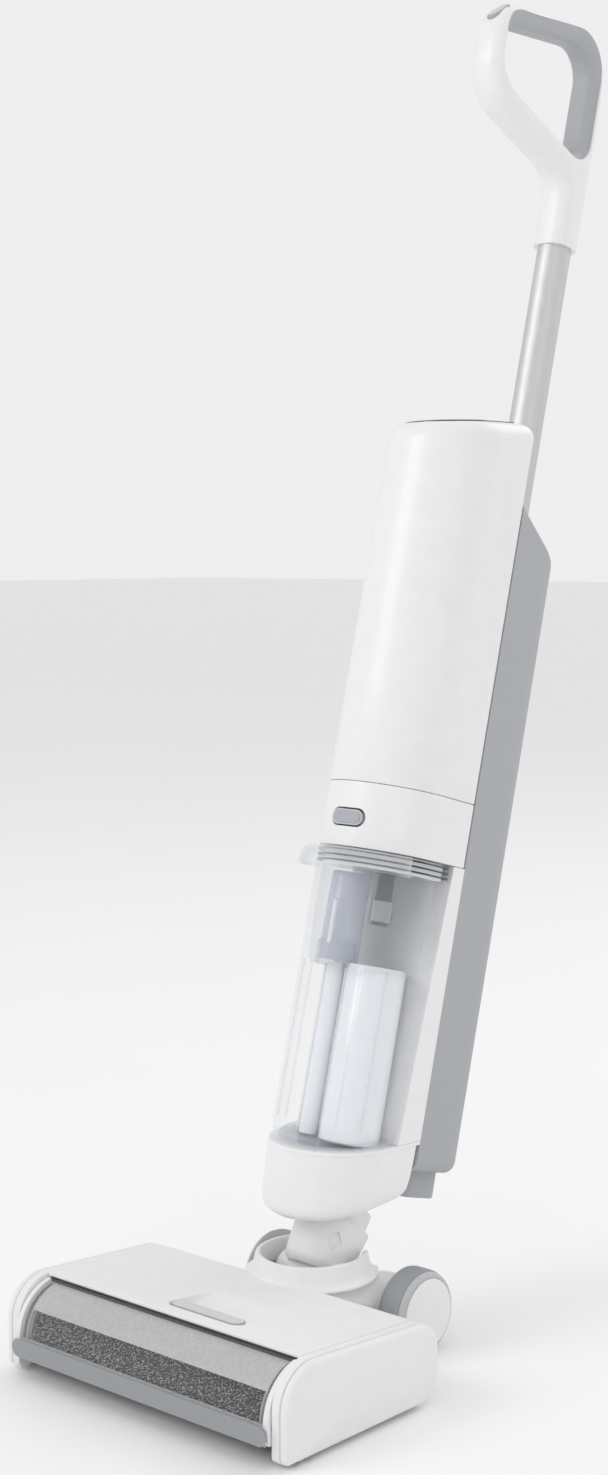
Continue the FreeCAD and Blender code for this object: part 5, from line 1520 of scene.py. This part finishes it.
@dataclass
class Handle:
    """The aluminium pole and the loop grip with its soft liner."""

    pole_depth: float = 94.0
    pole_radius: float = 14.5
    grip_half: float = 16.6
    edge_round: float = 12.0
    liner_half: float = 14.2

    def build(self) -> None:
        """Builds the pole, the grip shell and the liner."""
        self.pole()
        self.shell()
        self.liner()

    def pole(self) -> None:
        """The round pole, from inside the housing up into the grip."""
        radius = self.pole_radius
        profile = [(0, 560), (radius, 560), *[(radius, s) for s in np.linspace(600, 930, 18)], (radius, 942),
                   (0, 942)]
        pole = turned("pole", profile, (0, self.pole_depth, 0), 2, Place.TOWER, 80)
        dress(pole, ALUMINIUM, "tower", "pole_aluminium", "handle_tube")

    def outer_line(self) -> np.ndarray:
        """The outer outline of the grip, from the collar up round the loop and down again."""
        loop = [(-41, 1045), (-42.2, 1058), (-42, 1072), (-39.6, 1083.5), (-34, 1092.6), (-27, 1098),
                (-18, 1102), (0, 1107.5), (26, 1114.2), (53, 1120.4), (66, 1121.2), (78, 1119), (92, 1111.8),
                (102.5, 1101), (109, 1087), (111.2, 1070), (111.2, 1040), (110.8, 1000), (110.6, 965)]
        stem = [(77.8, 965), (77.4, 975), (74.6, 985), (68, 992.6), (56, 997.6), (33, 1001.6), (8, 1006.6),
                (-13, 1011.6), (-25, 1018), (-34.5, 1028.6)]
        foot = [(110.5, 930), (110.5, 900), (104, 884), (94, 880), (84, 884), (77.8, 900), (77.8, 930)]
        return smooth_loop(loop + foot + stem, 5)[::-1]

    def rim_line(self, inset: float = 0.0) -> np.ndarray:
        """The line between the white shell and the liner."""
        return self.loop_line((-35.0, 102.0, 5.0, 15.3), (22, 32, 22, 30), inset)

    def hole_line(self) -> np.ndarray:
        """The clear hole that the fingers go through."""
        return self.loop_line((-29.0, 93.0, 18.0, 20.3), (16, 24, 18, 24))

    def loop_line(self, sides: tuple[float, float, float, float], radii: Sequence[float],
                  inset: float = 0.0) -> np.ndarray:
        """Draws one loop of the grip.

        Args:
            sides: Its front, its back, its drop below the top and its lift above the chin.
            radii: The radius of each corner.
            inset: How far the loop is moved in.

        Returns:
            The outline, in depth and height.
        """
        front, back, drop, lift = sides
        top = lambda depth: GRIP_TOP - drop + depth * math.tan(LEAN)
        chin = lambda depth: 1009.4 + lift - depth * 0.1975
        corners = [(front, top(front)), (back, top(back)), (back, chin(back)), (front, chin(front))]
        return rounded(corners, radii, inset, 12)

    def shell(self) -> None:
        """The white shell of the grip with its stem, rounded all round."""
        line = self.outer_line()
        body = slab("grip_body", lambda inset: drawn_in(line, inset), Facing.SIDE, -self.grip_half,
                    self.grip_half, Place.TOWER, self.edge_round, self.edge_round, cap=Cap.SINGLE)
        rim = self.rim_line()
        knife = loft("rim_knife", [Facing.SIDE.lay(rim, -30), Facing.SIDE.lay(rim, 30)], Place.TOWER,
                     Cap.SINGLE, Cap.SINGLE)
        below = slab("collar_knife", lambda inset: box_outline((-40, 60), (40, 130), 3), Facing.TOP, 860, 934,
                     Place.TOWER)
        dress(cut(body, knife, below, self.recess()), WHITE, "tower", "white_shell", "grip_shell")

    def recess(self) -> bpy.types.Object:
        """The knife that cuts the power button's recess."""
        return corner_plug("button_recess", 6.3, 13.5, ((0, 20.4), (0, 40.0)))

    def liner(self) -> None:
        """The soft liner that swells into the hole of the grip."""
        centre, count = (36.0, 1062.0), 180
        rim, hole = spokes(self.rim_line(-0.3), centre, count), spokes(self.hole_line(), centre, count)
        places = np.linspace(-1, 1, 17)
        rings = []
        for turn, far, near in zip(np.arange(count) * 2 * math.pi / count, rim, hole):
            way = np.array((math.cos(turn), math.sin(turn)))
            section = []
            for share in places:
                reach = near + (far - near) * abs(share) ** 5
                section.append((share * self.liner_half, *(np.array(centre) + way * reach)))
            section += [(across, *(np.array(centre) + way * (far + 0.2)))
                        for across in (self.liner_half, -self.liner_half)]
            rings.append(np.array(section))
        lining = loft("grip_lining", rings, Place.TOWER, looped=True, sharp=60.0)
        dress(cut(lining, self.recess()), GRIP_GREY, "tower", "grip_rubber", "grip_liner")


# ---------------------------------------------------------------- studio
@dataclass
class Studio:
    """A pale floor, soft lights and the camera."""

    eye: tuple[float, float, float] = (1.09964, -1.32416, 0.62483)
    azimuth: float = 41.83
    fall: float = 4.86
    roll: float = 0.14
    focal_length: float = 52.87
    shift: tuple[float, float] = (-0.0005, -0.0047)
    floor_half: float = 30.0
    floor_drop: float = 0.0004
    surround: float = 0.8
    backdrop: float = 0.86
    lamps: tuple[tuple[str, tuple[float, float, float], float, float], ...] = (
        ("key", (-1.3, -2.4, 2.2), 1.4, 20.0), ("fill", (2.6, -1.2, 1.4), 1.8, 4.0),
        ("back", (0.6, 2.4, 2.6), 1.8, 18.0))

    def build(self) -> None:
        """Builds the studio round the machine."""
        bpy.context.scene.view_settings.view_transform = "Standard"
        self.floor()
        self.lights()
        self.camera()

    def floor(self) -> None:
        """The pale floor."""
        mesh = bpy.data.meshes.new("studio_floor")
        corners = [(x * self.floor_half, y * self.floor_half, -self.floor_drop)
                   for x, y in ((-1, -1), (1, -1), (1, 1), (-1, 1))]
        mesh.from_pydata(corners, [], [(0, 1, 2, 3)])
        floor = bpy.data.objects.new("studio_floor", mesh)
        mesh.materials.append(FLOOR.material())
        bpy.context.scene.collection.objects.link(floor)

    def lights(self) -> None:
        """A white surround that lights the machine, the backdrop behind it and three large soft lights."""
        world = bpy.data.worlds.new("studio_surround")
        world.use_nodes = True
        tree = world.node_tree
        surround = tree.nodes["Background"]
        surround.inputs["Color"].default_value = (1.0, 1.0, 1.0, 1.0)
        surround.inputs["Strength"].default_value = self.surround
        backdrop = tree.nodes.new("ShaderNodeBackground")
        backdrop.inputs["Color"].default_value = (*[self.backdrop] * 3, 1.0)
        seen = tree.nodes.new("ShaderNodeLightPath")
        blend = tree.nodes.new("ShaderNodeMixShader")
        tree.links.new(seen.outputs["Is Camera Ray"], blend.inputs["Fac"])
        tree.links.new(surround.outputs["Background"], blend.inputs[1])
        tree.links.new(backdrop.outputs["Background"], blend.inputs[2])
        tree.links.new(blend.outputs["Shader"], tree.nodes["World Output"].inputs["Surface"])
        bpy.context.scene.world = world
        for name, spot, size, power in self.lamps:
            light = bpy.data.lights.new(name, "AREA")
            light.energy, light.size = power, size
            lamp = bpy.data.objects.new(name, light)
            lamp.location = spot
            lamp.rotation_euler = (Vector((0, 0, 0.5)) - Vector(spot)).to_track_quat("-Z", "Y").to_euler()
            bpy.context.scene.collection.objects.link(lamp)

    def camera(self) -> None:
        """The camera that looks at the machine from its front right."""
        lens = bpy.data.cameras.new("camera")
        lens.sensor_fit, lens.sensor_height, lens.lens = "VERTICAL", 36.0, self.focal_length
        lens.shift_x, lens.shift_y = self.shift
        camera = bpy.data.objects.new("camera", lens)
        camera.location = self.eye
        camera.rotation_euler = (math.radians(90 - self.fall), math.radians(self.roll),
                                 math.radians(self.azimuth))
        bpy.context.scene.collection.objects.link(camera)
        bpy.context.scene.camera = camera


def dress_frame() -> None:
    """Gives every node of the frame its finish by its material slot."""
    slots = {part["node"]: part["material_slot"] for part in frame["record"]["subparts"]}
    for name, node in frame["nodes"].items():
        finish = CAD_FINISH[slots[name]]
        for index in range(len(node.material_slots)):
            node.material_slots[index].material = finish.material()
        if not node.material_slots:
            node.data.materials.append(finish.material())


def main() -> None:
    """Builds the machine from the floor up."""
    logging.basicConfig(level=logging.INFO, format="%(message)s")
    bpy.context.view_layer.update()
    Studio().build()
    dress_frame()
    for assembly in (CleaningHead(), RollerCover(), Roller(), Wheels(), Neck(), Tower(), RearHousing(),
                     DirtyTank(), Buttons(), Handle()):
        assembly.build()
        LOG.info("%s done", type(assembly).__name__)


if __name__ == "__main__":
    main()
